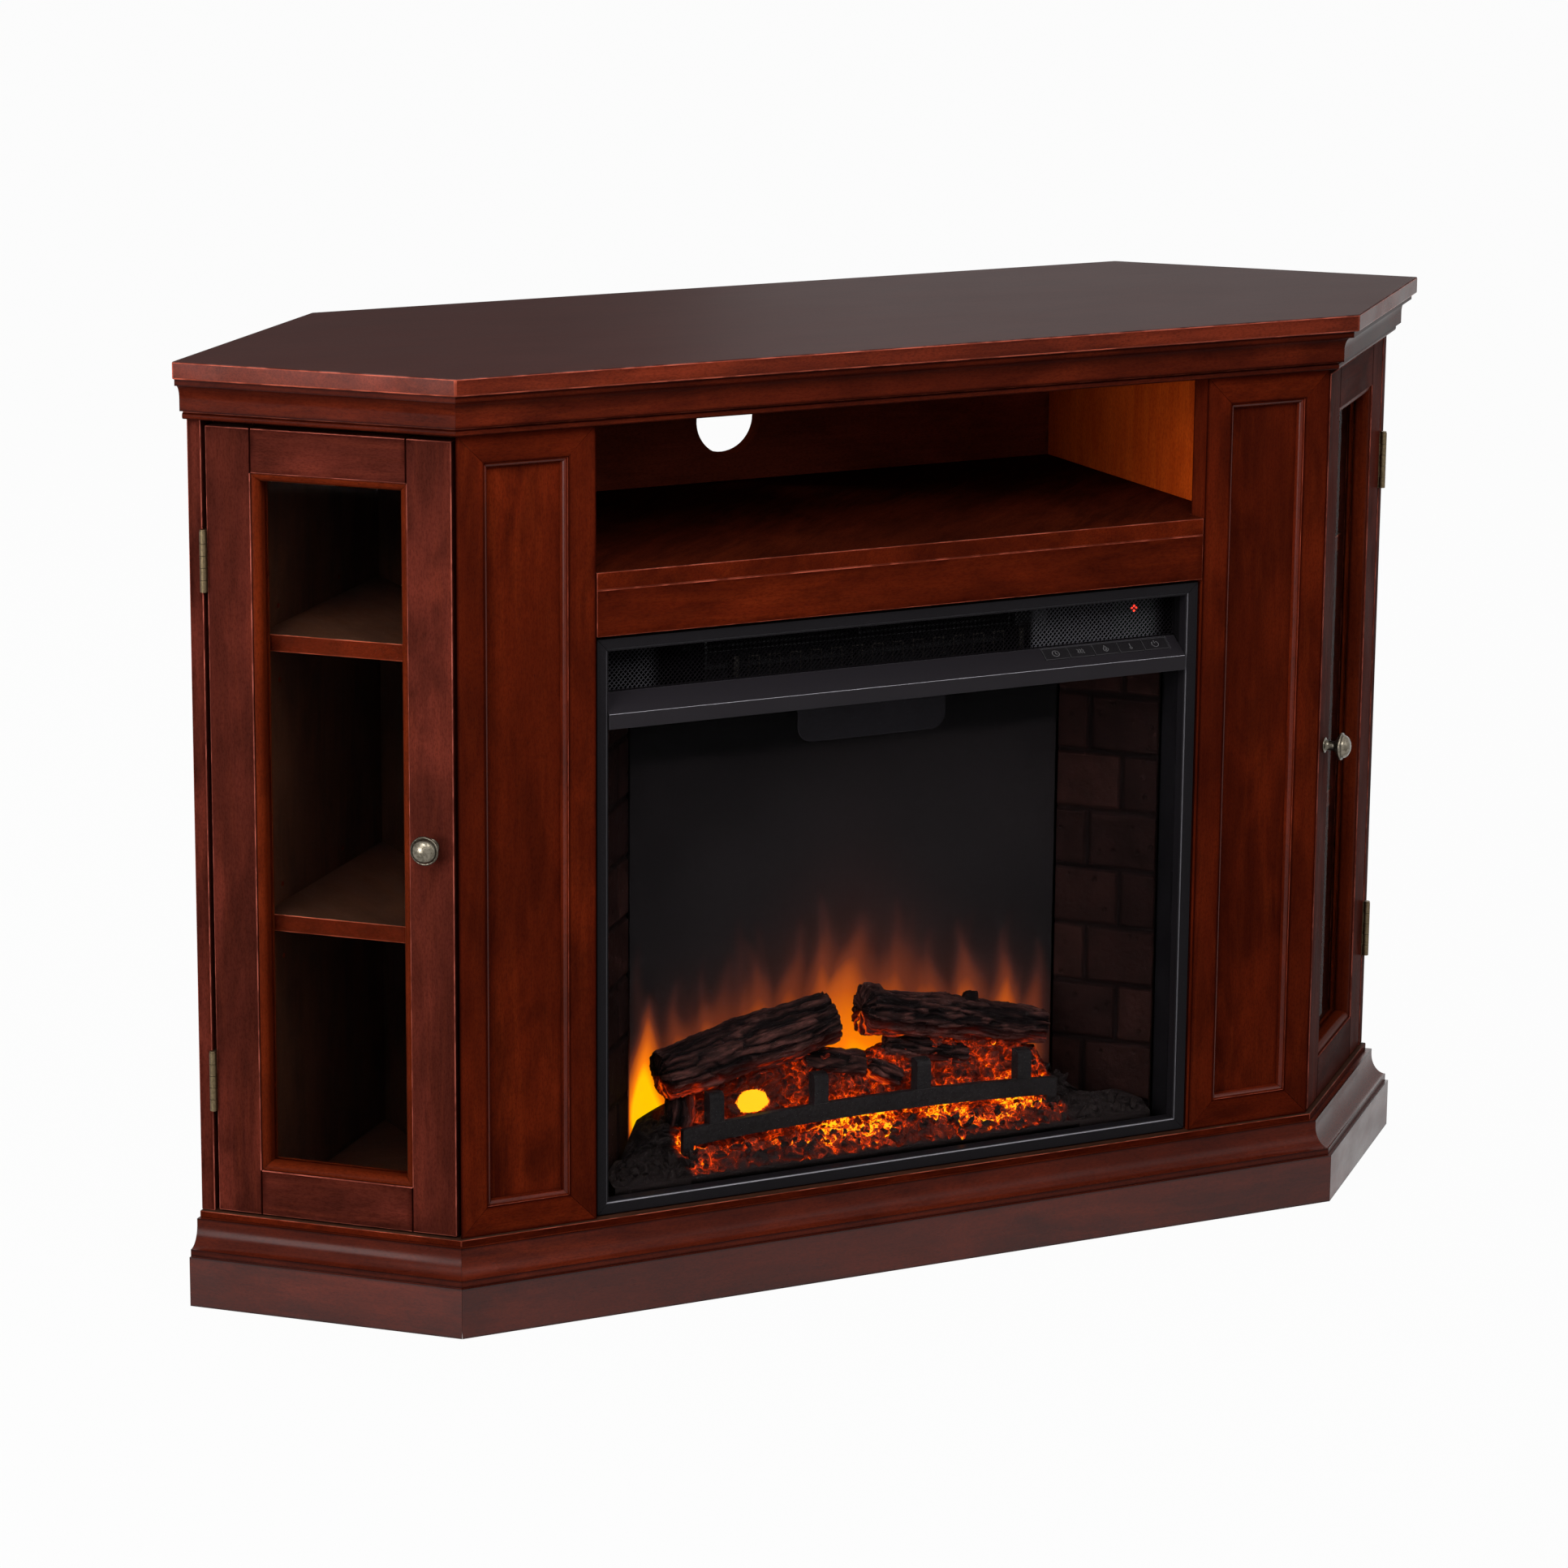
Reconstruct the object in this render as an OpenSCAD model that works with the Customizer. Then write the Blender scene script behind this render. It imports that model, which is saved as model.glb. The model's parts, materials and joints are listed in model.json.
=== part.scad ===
// Corner media console with an electric fireplace insert.
// Millimetres, +X to the right, +Y to the back, +Z up, origin on the floor under the middle of
// the footprint. The plan is a hexagon: both front facets and both back facets are at 45 degrees.

/* [Console] */
// Width across the two side corners of the top
console_w = 1219; // [1190:1:1260]
// Depth from the front edge to the back edge of the top
console_d = 382; // [372:1:410]
// Overall height
console_h = 819; // [800:1:860]
// Share of the depth that each front facet of the top takes
facet_share = 0.46466; // [0.44:0.00001:0.49]
// Thickness of the top panel
top_t = 15; // [12:0.5:22]
// Overhang of the top beyond the body's front and facets
overhang = 27; // [25:0.5:32]

/* [Boards] */
// Thickness of rails, floor, angled sides, bay back and fascia
board_t = 16; // [14:0.5:18]
// Thickness of the dividers between the bay and the side cabinets
divider_t = 22; // [18:0.5:24]
// Thickness of the pilaster frames and of the rails behind the crown
frame_t = 23; // [20:0.5:26]
// Thickness of the thin sheets: pilaster panels and the cover behind the insert
panel_t = 6; // [4:0.5:7]
// Gap between two pieces that meet in a joint
joint_gap = 0.2; // [0.1:0.05:0.4]

/* [Base and crown] */
// Height of the plinth boards
plinth_h = 44; // [36:1:60]
// Height of the cavetto moulding on the plinth
cap_h = 29.6; // [24:0.2:36]
// How far the floor panel's edge shows above the base moulding
floor_reveal = 5.4; // [3:0.2:8]
// How far the floor panel stands out of the body's face
floor_lip = 4; // [2:0.5:6]
// Height of the fillet under the cavetto
cap_fillet = 6; // [3:0.5:8]
// How far the cavetto's foot stands out of the body's face
cap_foot = 24; // [20:0.5:24.5]
// How far the cavetto's top stands out of the body's face
cap_head = 10; // [8:0.5:14]
// Height of the crown moulding
crown_h = 36; // [30:1:44]
// How far the crown's top fillet stands out of the body's face
crown_out = 22; // [18:0.5:24.5]
// How far the crown's plain band stands out of the body's face
crown_band = 13; // [9:0.5:15]
// Height of the crown's cavetto
crown_cove = 12; // [8:0.5:16]

/* [Front] */
// Width of a pilaster at its face
pilaster_w = 126; // [110:0.5:140]
// Width of the flat part of a pilaster frame
pilaster_band = 25; // [20:0.5:28]
// Width of the moulded edge inside a pilaster frame
pilaster_bead = 5; // [4:0.5:7]
// Depth of a pilaster's panel behind the frame's face
pilaster_recess = 7; // [5:0.5:9]
// Clear height of the media bay
bay_h = 125; // [110:1:140]
// Thickness of the media shelf
media_t = 15; // [12:0.5:18]
// Height of the rail between the media shelf and the insert
fascia_h = 40; // [30:1:50]
// Side clearance of the media shelf's tongue and of the fascia rail
rail_gap = 0.8; // [0.4:0.1:1.5]
// Diameter of the cable hole
hole_d = 64; // [40:1:70]
// Place of the cable hole across the back, from the middle
hole_x = -7; // [-60:1:60]
// Height of the cable hole's centre above the media shelf
hole_up = 56; // [48:1:64]

/* [Doors] */
// Thickness of a door
door_t = 20; // [18:0.5:22]
// Width of the door's stiles
stile_w = 40; // [34:0.5:46]
// Height of the door's top rail
top_rail_h = 37.5; // [30:0.5:46]
// Height of the door's bottom rail
bottom_rail_h = 39.5; // [32:0.5:50]
// Width of the moulding round the glass
bead_w = 7; // [5:0.5:9]
// Depth of the moulding in front of the glass
bead_t = 12; // [9:0.5:13]
// Setback of that moulding behind the door's face
bead_set = 2; // [1:0.25:3]
// Thickness of the door glass
door_glass_t = 3; // [2.5:0.25:4]
// Width of the post that carries the hinges
post_w = 12.5; // [10:0.5:20]
// Depth of that post
post_d = 40; // [38:1:60]
// Gap beside a closed door, at the pilaster
door_gap = 4; // [3:0.25:5]
// Gap under a door
door_foot_gap = 1.5; // [1:0.25:3]
// Gap over a door
door_head_gap = 5.5; // [3:0.25:7]
// Gap between a door's back and the strip that it closes on
stop_gap = 4; // [3:0.25:5]

/* [Hinges and knobs] */
// Height of a hinge
hinge_h = 52; // [40:1:64]
// Distance from a door's foot up to its lower hinge
hinge_foot = 89.5; // [50:0.5:160]
// Distance from a door's head down to its upper hinge
hinge_head = 88.5; // [50:0.5:160]
// Diameter of a hinge knuckle
knuckle_d = 6; // [5:0.25:7]
// Diameter of a hinge pin
pin_d = 2.5; // [2:0.1:3]
// Thickness of a hinge leaf
leaf_t = 1.5; // [1.2:0.1:2]
// Width of a hinge leaf
leaf_w = 18; // [14:0.5:20]
// Gap between the two leaves of a closed hinge
leaf_gap = 1; // [0.6:0.1:1.5]
// Radial clearance of a hinge pin
pin_clear = 0.05; // [0.02:0.01:0.1]
// Diameter of a knob
knob_d = 25; // [20:0.5:32]
// How far a knob stands out of the door
knob_out = 25; // [22:0.5:30]
// How far a knob sits below the middle of its door
knob_drop = 1.5; // [-60:0.5:60]
// Place of a knob, from the door's free edge
knob_in = 20; // [17:0.5:22]
// Diameter of a knob's screw
knob_screw_d = 4; // [3:0.25:5]

/* [Side cabinets] */
// Distance from the back to the corner of an angled side panel and its divider
side_back = 15; // [8:0.5:20]
// Thickness of an adjustable shelf
shelf_t = 15; // [12:0.5:18]
// Height of the lower shelf's top, as a share of the cabinet's clear height
shelf_low = 0.38; // [0.3:0.01:0.45]
// Height of the upper shelf's top, as a share of the cabinet's clear height
shelf_high = 0.733; // [0.65:0.001:0.8]
// Setback of a shelf behind the facet
shelf_set = 27; // [26:0.5:40]
// Clearance round a shelf
shelf_gap = 1; // [0.6:0.1:2]
// Diameter of a shelf pin
peg_d = 5; // [4:0.25:6]
// How far a shelf pin stands out of its panel
peg_out = 9; // [7:0.5:12]
// Depth of a shelf pin's hole
peg_hole = 10; // [8:0.5:12]
// Spacing of the rows of shelf pin holes
peg_pitch = 32; // [24:1:40]

/* [Insert] */
// Gap between the insert's trim and the pilasters
insert_gap = 2.8; // [1.5:0.1:4]
// Gap between the insert's trim and the fascia rail
insert_head_gap = 3; // [2:0.25:5]
// Width of the insert's trim frame
trim_w = 11; // [9:0.5:14]
// Depth of the insert's trim frame
trim_t = 12; // [9:0.5:14]
// Setback of the trim behind the pilasters' face
trim_set = 4; // [2:0.5:6]
// How far the trim covers the housing all round
trim_lap = 9; // [7:0.5:9.5]
// Depth of the sheet metal housing
housing_d = 188; // [175:1:215]
// Thickness of the housing's sheet metal
sheet_t = 1.5; // [1:0.1:2]
// Distance from the trim's head down to the ledge's foot
ledge_drop = 78; // [70:0.5:90]
// Height of the ledge's upright face
ledge_face_h = 13; // [10:0.5:16]
// Depth of the ledge's sloping face
slope_d = 20; // [18:0.5:22]
// Rise of the ledge's sloping face
slope_h = 14.5; // [12:0.5:16]
// Width of the flat strip behind the slope
ledge_back = 4; // [3:0.5:5]
// Wall of the hollow ledge
ledge_wall = 2.5; // [2:0.1:3]
// Thickness of the front glass
front_glass_t = 4; // [3:0.25:5]
// Thickness of the vent grille
grille_t = 1; // [0.8:0.1:1.5]

/* [Buttons] */
// Length of a button
button_w = 24.3; // [20:0.1:24.6]
// Width of a button, up the slope
button_d = 12.8; // [9:0.1:13.2]
// Spacing of the buttons
button_pitch = 25.2; // [25.2:0.1:27]
// Place of the last button's middle, from the ledge's right end
button_end = 23.2; // [20:0.1:40]
// Thickness of a button
button_t = 4; // [3:0.1:4.5]
// Clearance round a button
button_gap = 0.35; // [0.25:0.05:0.5]
// Travel of a button
button_travel = 1.5; // [1:0.1:1.6]

/* [Firebox] */
// Distance from the housing's side to each end of the flame screen
screen_side = 68.5; // [58:0.5:80]
// Distance from the front glass to the flame screen
screen_back = 95; // [90:1:100]
// Thickness of the flame screen
screen_t = 3; // [2:0.5:4]
// Thickness of a brick panel
brick_t = 6; // [5:0.5:7]
// Distance from the front glass to a brick panel's front edge
brick_front = 23; // [20:1:30]
// Height of one course of bricks
course_h = 53.8; // [45:0.2:60]
// Width of the mortar joints
mortar_w = 4; // [3:0.5:6]
// Depth of the mortar joints
mortar_d = 1.6; // [1:0.1:2]
// Width of the lamp baffle
baffle_w = 145; // [120:1:170]
// Height of the lamp baffle
baffle_h = 45; // [36:1:55]
// Radius of the lamp baffle's corners
baffle_r = 14; // [8:1:18]
// Height of the ember bed's front edge above the housing floor
bed_front_h = 15; // [12:1:22]
// Height of the ember bed's crest above the housing floor
bed_back_h = 72; // [60:1:80]
// Height of the coals on the ember bed
coal_h = 5; // [2:0.5:6]
// Height of the space for lamps under the ember bed
lamp_space_h = 8; // [7:0.5:10]
// Radius of the large logs
log_r = 23; // [18:0.5:24]
// Distance from the flame screen to the middle of the logs
log_back = 31; // [28:0.5:34]
// Distance from the end of the flame screen to that of the grate
grate_side = 26; // [18:0.5:40]
// Height of the ends of the grate's bar above the housing floor
grate_z = 32; // [28:1:36]
// Distance from the grate's end to its first upright
grate_end = 33; // [20:0.5:45]

/* [Works] */
// Radius of the flame spindle's foils
foil_r = 13; // [9:0.5:15]
// Diameter of the flame spindle's rod
rod_d = 6; // [5:0.25:7]
// Distance from the housing's side to each end of the flame spindle
spindle_side = 81.5; // [75:0.5:110]
// Radius of the blower wheel
blower_r = 22; // [18:0.5:23]
// Distance from the housing's side to each end of the blower wheel
blower_side = 131.5; // [120:0.5:160]
// Diameter of the blower's shaft
shaft_d = 5; // [4:0.25:6]
// Radial running clearance of the spindle and of the blower's shaft
run_clear = 0.08; // [0.03:0.01:0.1]
// Height of the heating element
element_h = 34; // [26:1:40]
// Distance from the housing's side to the power cord's gland
gland_side = 51.5; // [40:0.5:80]
// Diameter of the power cord's gland
gland_d = 14; // [12:0.5:20]

/* [Hidden] */

root2 = sqrt(2);
mitre = tan(22.5); // a 45 degree corner's mitre moves this far along for each unit out

half_w = console_w / 2;
half_d = console_d / 2;
facet_line = half_w - facet_share * console_d + half_d; // x - y along a front facet
back_sum = half_w + half_w - facet_line; // x + y along a back facet
face_y = -half_d + overhang;
corner_x = facet_line - overhang * root2 + face_y;
facet_l = ((facet_line - overhang * root2 + back_sum) / 2 - corner_x) * root2;

// Heights
top_z = console_h - top_t;
head_z = top_z - crown_h;
media_z = head_z - bay_h;
hole_z = media_z + hole_up;
cap_z = plinth_h + cap_h;
floor_z = cap_z + floor_reveal;
floor_under = floor_z - board_t;
media_under = media_z - media_t;
fascia_z = media_under - fascia_h;

// Front
half_open = corner_x - pilaster_w;
frame_back_y = face_y + frame_t;
bead_quirk = 1.5; // step between a pilaster's flat face and its moulded edge
panel_lip = 3; // how far a pilaster panel reaches behind the moulded edge

// Middle of the cabinet
divider_set = 33.2; // the dividers stand back from the pilasters' edge
divider_in = half_open + divider_set;
divider_out = divider_in + divider_t;
bay_back_y = half_d - board_t;
cover_rabbet = 8;
cover_lap = 10;
cover_y = half_d - cover_rabbet;
cover_half = divider_in + cover_lap - 0.5;
slot_pitch = cover_half * 4 / 9;
slot_l = slot_pitch * 2 / 3;
slot_h = 6;
slot_rise = 16;
slot_rows = 8;
screw_r = 1.6;
screw_rows = 4;
screw_end = 30; // from the cover's foot or head to its nearest screw
screw_l = 10; // how far a screw reaches into a divider

// Side cabinets and doors, measured along the facet from its front corner
side_in_t = (divider_out - corner_x + half_d - side_back - face_y) / root2;
side_out_t = side_in_t + board_t;
side_run = side_in_t + (corner_x - divider_out) * root2; // where a side panel meets its divider
post_t = facet_l - post_w;
knuckle_r = knuckle_d / 2;
pin_r = pin_d / 2;
hinge_t = post_t - leaf_t - leaf_gap / 2;
hinge_out = knuckle_r + 0.3;
door_end = hinge_t - leaf_gap / 2 - leaf_t;
door_w = door_end - door_gap;
door_z = floor_z + door_foot_gap;
door_h = head_z - door_head_gap - door_z;
glass_z = door_z + bottom_rail_h;
glass_h = door_h - bottom_rail_h - top_rail_h;
glass_w = door_w - 2 * stile_w;
filler_d = door_t + stop_gap;
knuckles = 5;
knuckle_h = hinge_h / knuckles;
knuckle_gap = 0.3;
hinge_z = [door_z + hinge_foot, door_z + door_h - hinge_head - hinge_h];
knob_z = door_z + door_h / 2 - knob_drop;
shelf_z = [for (s = [shelf_low, shelf_high]) floor_z + s * (head_z - floor_z)];
shelf_end_t = side_in_t - shelf_gap;
peg_r = peg_d / 2;
peg_slack = 0.1; // radial slack of a shelf pin's hole
peg_keep = 1; // how far a pin stays short of its hole's foot
peg_divider_y = [for (s = [0.142, 0.826]) frame_back_y + s * (bay_back_y - frame_back_y)];
peg_side_d = [for (s = [0.12, 0.64]) post_d + s * (side_run - post_d)];
strike_t = 1.5;
strike_l = 36;
strike_h = 10.5;
catch_gap = 0.5;
catch_l = 40;
catch_t = 14;
catch_t0 = door_gap + 8; // where a catch starts along the facet

// Insert
trim_half = half_open - insert_gap;
trim_z = floor_z + sheet_t;
trim_h = fascia_z - insert_head_gap - trim_z;
trim_y = face_y + trim_set;
box_y = trim_y + trim_t;
box_back_y = box_y + housing_d;
box_half = trim_half - trim_lap;
box_in = box_half - sheet_t;
housing_drop = 3; // the housing's head below the trim's
box_top = trim_z + trim_h - housing_drop;
box_floor = floor_z + sheet_t;
inner_half = trim_half - trim_w;
inner_top = trim_z + trim_h - trim_w;
ledge_foot = trim_z + trim_h - ledge_drop;
ledge_top = ledge_foot + ledge_face_h + slope_h;
slope_a = atan2(slope_h, slope_d);
slope_l = sqrt(slope_d * slope_d + slope_h * slope_h);
ledge_half = inner_half - 0.3;
ledge_rear_y = trim_y + slope_d + ledge_back;
grille_y = trim_y + slope_d + (ledge_back - grille_t) / 2;
ceiling_z = ledge_foot + sheet_t;
fire_top = ledge_foot - 0.3;
glass_y = box_y;
fire_y = glass_y + front_glass_t;

// Buttons, on the slope: x across, y up the slope, z out of it
button_head = 1.2; // from the slope's head to the buttons
button_y0 = slope_l - button_head - button_d;
bezel_d = 0.8;
bezel_w = 1.2;
board_z = -8.2; // the switch board's face, under the slope
pcb_t = 1.6;
pcb_rib = 2; // thickness of the ribs that carry it
switch_w = 6; // side of a switch
switch_gap = 0.2; // between a pressed button and its switch
lamp_w = 12; // width of the indicator
lamp_h = 8; // its height
lamp_t = 2.5; // its depth

// Firebox
screen_half = box_in - screen_side;
grate_half = screen_half - grate_side;
grate_pitch = (grate_half - grate_end) * 2 / 3;
screen_y = fire_y + screen_back - front_glass_t;
brick_turn = 0.747; // a brick panel's front edge turns in by this share of its thickness
brick_x = box_in - brick_t * brick_turn;
course_foot = 14; // where the lowest course ends
brick_split = [0.36, 0.68]; // where the upright joints of even and odd courses come
baffle_y = glass_y + 50;
brick_y = glass_y + brick_front;
brick_l = norm([brick_x - screen_half, screen_y - brick_y]);
brick_a = atan2(screen_y - brick_y, screen_half - brick_x);
log_y = screen_y - log_back;
bed_y0 = fire_y + 2;
bed_y1 = screen_y - 3;
bed_gap = 9; // between the ember bed and the brick panels
bed_foot = 8; // how far the bed's feet stay clear of the grate's ends
bed_low = grate_z - 5; // height of the coals under the grate's bar
bed_rise = 14; // depth over which they rise to the crest behind it
grate_y = log_y - log_r - 4;
bar_t = 6; // thickness of the grate's bar
bar_h = 16; // its height
bar_bow = 7; // how far its middle stands above its ends
upright_w = 14; // width of the grate's uprights
upright_d = 12; // their depth
upright_round = 6; // radius of their top front edge
upright_h = 41; // their height
leg_w = 10; // width of the grate's legs
strip_inset = 10; // from the grate's end to the lamp strip's
strip_t = 3;

// Works
spindle_l = 2 * (box_in - spindle_side);
spindle_y = screen_y + screen_t + foil_r + 20;
spindle_z = box_floor + 35;
bracket_t = 2;
bracket_half = 14;
bracket_in = 6; // from the spindle's end to its bracket
foils = 9;
foil_l = 24;
foil_t = 0.6;
foil_end = 30; // bare rod at each end of the spindle
foil_turn = 40; // turn from one foil to the next
foot_w = 24; // width of a motor's foot
spindle_motor_r = 18;
spindle_motor_l = 20;
blower_l = 2 * (box_in - blower_side);
wheel_y = box_y + 95;
wheel_z = ceiling_z + blower_r + 14;
wheel_plate_t = 2;
blades = 12;
blade_w = 7;
blade_t = 1;
shaft_end = 14; // how far the shaft passes the wheel
cheek_t = 2; // thickness of the blower housing's sheets
cheek_gap = 2; // between the wheel and a cheek
cheek_reach = blower_r + 6;
blower_motor_r = 17;
blower_motor_l = 34;
bore_l = 7; // depth of a motor's bore
element_y = box_y + 40;
element_half = blower_l / 2 - 10;
element_rows = 27; // upright runs of the heating element's ribbon
element_pitch = 2 * element_half / (element_rows + 1);
ribbon_w = 1;
holder_t = 4;
gland_x = -(box_in - gland_side);
gland_z = box_floor + 22;
gland_l = 10;
notch_half = 30; // half width of the cover's notch for the cord
notch_h = 40;

// Curves
arc_n = 8;
$fn = 48;

function arc(cx, cy, rx, ry, a0, a1) =
    [for (i = [0:arc_n]) let (a = a0 + (a1 - a0) * i / arc_n) [cx + rx * cos(a), cy + ry * sin(a)]];

// Plan hexagon, set in by front_in at the front and its facets and by back_in at the back ones
function outline(front_in, back_in) =
    let (f = facet_line - front_in * root2, b = back_sum - back_in * root2,
         y0 = -half_d + front_in, y1 = half_d - back_in)
    [[-f - y0, y0], [f + y0, y0], [(f + b) / 2, (b - f) / 2], [b - y1, y1], [y1 - b, y1],
     [-(f + b) / 2, (b - f) / 2]];

module box(low, high) translate(low) cube(high - low);

module both_sides() {
    children();
    mirror([1, 0, 0]) children();
}

// Right facet's own frame: x runs back along the facet from its front corner, y goes inwards
module on_facet() translate([corner_x, face_y, 0]) rotate([0, 0, 45]) children();

// A profile of [depth, height] points drawn out along x
module along_x(length, profile) rotate([90, 0, 90]) linear_extrude(length) polygon(profile);

// Three mitred lengths round the front and its facets, from a profile of [out, height] points
module front_runs(profile) {
    section = [for (p = profile) [-p[0], p[1]]];
    inside = -80;
    outside = 60;
    x_in = corner_x + mitre * inside - joint_gap / 2;
    x_out = corner_x + mitre * outside - joint_gap / 2;
    intersection() {
        translate([-half_w, face_y, 0]) along_x(console_w, section);
        linear_extrude(console_h) polygon([[-x_in, face_y - inside], [x_in, face_y - inside],
            [x_out, face_y - outside], [-x_out, face_y - outside]]);
    }
    both_sides() on_facet() intersection() {
        translate([-half_w / 2, 0, 0]) along_x(console_w, section);
        linear_extrude(console_h) polygon([[joint_gap / 2 - mitre * inside, -inside],
            [facet_l, -inside], [facet_l, -outside], [joint_gap / 2 - mitre * outside, -outside]]);
    }
}

// One side of a mitred frame: length along x, band up z, profile of [depth, across] points
module frame_member(length, profile, band, depth) intersection() {
    along_x(length, profile);
    translate([0, depth + 1, 0]) rotate([90, 0, 0]) linear_extrude(depth + 2)
        polygon([[joint_gap, 0], [length - joint_gap, 0], [length - band - joint_gap, band],
            [band + joint_gap, band]]);
}

module mitred_frame(w, h, profile, band, depth) {
    frame_member(w, profile, band, depth);
    translate([w, 0, h]) rotate([0, 180, 0]) frame_member(w, profile, band, depth);
    translate([0, 0, h]) rotate([0, 90, 0]) frame_member(h, profile, band, depth);
    translate([w, 0, 0]) rotate([0, -90, 0]) frame_member(h, profile, band, depth);
}

// ---- Cabinet ----

module top_panel() color("#3a1a16") translate([0, 0, top_z])
    linear_extrude(top_t) polygon(outline(0, 0));

module crown_moulding() color("#5a1d12") front_runs(concat(
    [[0, head_z], [6.5, head_z], [8, head_z + 2], [8, head_z + 5.5], [6.5, head_z + 7.5]],
    [[crown_band, head_z + 7.5]],
    arc(crown_out - 2, top_z - 6 - crown_cove, crown_out - 2 - crown_band, crown_cove, 180, 90),
    [[crown_out, top_z - 6], [crown_out, top_z], [0, top_z]]));

module plinth_boards() color("#4a1710") front_runs([[floor_lip, 0], [overhang, 0],
    [overhang, plinth_h], [floor_lip, plinth_h]]);

module base_cap_moulding() color("#5a1d12") front_runs(concat(
    [[floor_lip, plinth_h], [cap_foot, plinth_h]],
    arc(cap_foot, cap_z - 4.6, cap_foot - cap_head, cap_h - 4.6 - cap_fillet, 270, 180),
    [[cap_head, cap_z], [floor_lip, cap_z]]));

module rear_rail_plan(e) {
    outer = outline(e, 0);
    inner = outline(e, board_t);
    both_sides() linear_extrude(floor_under) polygon([outer[2], outer[3], inner[3], inner[2]]);
    linear_extrude(floor_under) polygon([outer[3] - [joint_gap, 0], inner[3] - [joint_gap, 0],
        inner[4] + [joint_gap, 0], outer[4] + [joint_gap, 0]]);
}

module frame_rails() color("#4a1710") {
    front_runs([[-frame_t, head_z], [0, head_z], [0, top_z], [-frame_t, top_z]]);
    front_runs([[floor_lip - board_t, 0], [floor_lip, 0], [floor_lip, floor_under],
        [floor_lip - board_t, floor_under]]);
    rear_rail_plan(overhang - floor_lip + board_t + joint_gap);
}

module floor_panel() color("#5a2015") translate([0, 0, floor_under])
    linear_extrude(board_t) polygon(outline(overhang - floor_lip, 0));

peg_heights = [for (z = shelf_z, k = [-1:1]) z - shelf_t - peg_r + k * peg_pitch];

module divider_peg_holes() for (y = peg_divider_y, z = peg_heights)
    translate([divider_out - peg_hole, y, z]) rotate([0, 90, 0])
        cylinder(h = peg_hole + 1, r = peg_r + peg_slack);

module cover_screw_places() for (k = [0:screw_rows - 1])
    translate([divider_in + cover_lap / 2, 0,
        floor_z + screw_end + k * (media_under - floor_z - 2 * screw_end) / (screw_rows - 1)])
            children();

module dividers() color("#8a3c1c") both_sides() difference() {
    box([divider_in, frame_back_y, floor_z], [divider_out, half_d, top_z]);
    box([divider_in - 1, cover_y, floor_z - 1], [divider_in + cover_lap, half_d + 1, media_under]);
    divider_peg_holes();
    cover_screw_places() translate([0, cover_y - screw_l - 2, 0]) rotate([-90, 0, 0])
        cylinder(h = screw_l + 4, r = screw_r);
}

pilaster_edge = pilaster_band + pilaster_bead;
pilaster_profile = concat([[0, 0], [frame_t, 0], [frame_t, pilaster_edge - panel_lip],
    [pilaster_recess, pilaster_edge - panel_lip]],
    arc(pilaster_recess, pilaster_band + 0.5, bead_quirk - pilaster_recess, pilaster_bead - 0.5,
        90, 0),
    [[bead_quirk, pilaster_band], [0, pilaster_band]]);

module pilaster_frames() color("#5a1d12") both_sides() intersection() {
    translate([half_open, face_y, floor_z])
        mitred_frame(pilaster_w, head_z - floor_z, pilaster_profile, pilaster_edge, frame_t);
    linear_extrude(console_h) polygon([[half_open - 1, face_y - 1], [corner_x + 1, face_y - 1],
        [corner_x - frame_t - 1, frame_back_y + 1], [half_open - 1, frame_back_y + 1]]);
}

module pilaster_panels() color("#4a1710") both_sides()
    box([half_open + pilaster_edge - panel_lip + joint_gap, face_y + pilaster_recess,
            floor_z + pilaster_edge - panel_lip + joint_gap],
        [corner_x - pilaster_edge + panel_lip - joint_gap, face_y + pilaster_recess + panel_t,
            head_z - pilaster_edge + panel_lip - joint_gap]);

module media_shelf() color("#5a1d12") translate([0, 0, media_under]) linear_extrude(media_t)
    polygon([[-divider_in, bay_back_y], [-divider_in, frame_back_y],
        [-half_open + rail_gap, frame_back_y], [-half_open + rail_gap, face_y],
        [half_open - rail_gap, face_y], [half_open - rail_gap, frame_back_y],
        [divider_in, frame_back_y], [divider_in, bay_back_y]]);

module fascia_rail() color("#5a1d12") box([-half_open + rail_gap, face_y, fascia_z],
    [half_open - rail_gap, face_y + board_t, media_under]);

module hinge_posts() color("#4a1710") both_sides() on_facet() {
    box([post_t, 0, floor_z], [facet_l, post_d, head_z]);
    box([side_in_t, filler_d, floor_z], [post_t - joint_gap, post_d, head_z]);
}

module bay_back_panel() color("#3a1a16") difference() {
    box([-divider_in, bay_back_y, media_under], [divider_in, half_d, top_z]);
    translate([hole_x, bay_back_y - 1, hole_z]) rotate([-90, 0, 0])
        cylinder(h = board_t + 2, d = hole_d, $fn = 96);
}

module insert_back_cover() color("#2a2320") difference() {
    box([-cover_half, cover_y, floor_z], [cover_half, cover_y + panel_t, media_under]);
    for (c = [-1:1], k = [0:slot_rows - 1])
        translate([c * slot_pitch - slot_l / 2, cover_y - 1, fascia_z - 60 - k * slot_rise])
            cube([slot_l, panel_t + 2, slot_h]);
    box([gland_x - notch_half, cover_y - 1, floor_z - 1],
        [gland_x + notch_half, cover_y + panel_t + 1, floor_z + notch_h]);
    both_sides() cover_screw_places() translate([0, cover_y - 1, 0]) rotate([-90, 0, 0])
        cylinder(h = panel_t + 2, r = screw_r + 0.6);
}

module side_peg_holes() for (d = peg_side_d, z = peg_heights)
    translate([side_in_t + peg_hole, d, z]) rotate([0, -90, 0])
        cylinder(h = peg_hole + 1, r = peg_r + peg_slack);

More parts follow.
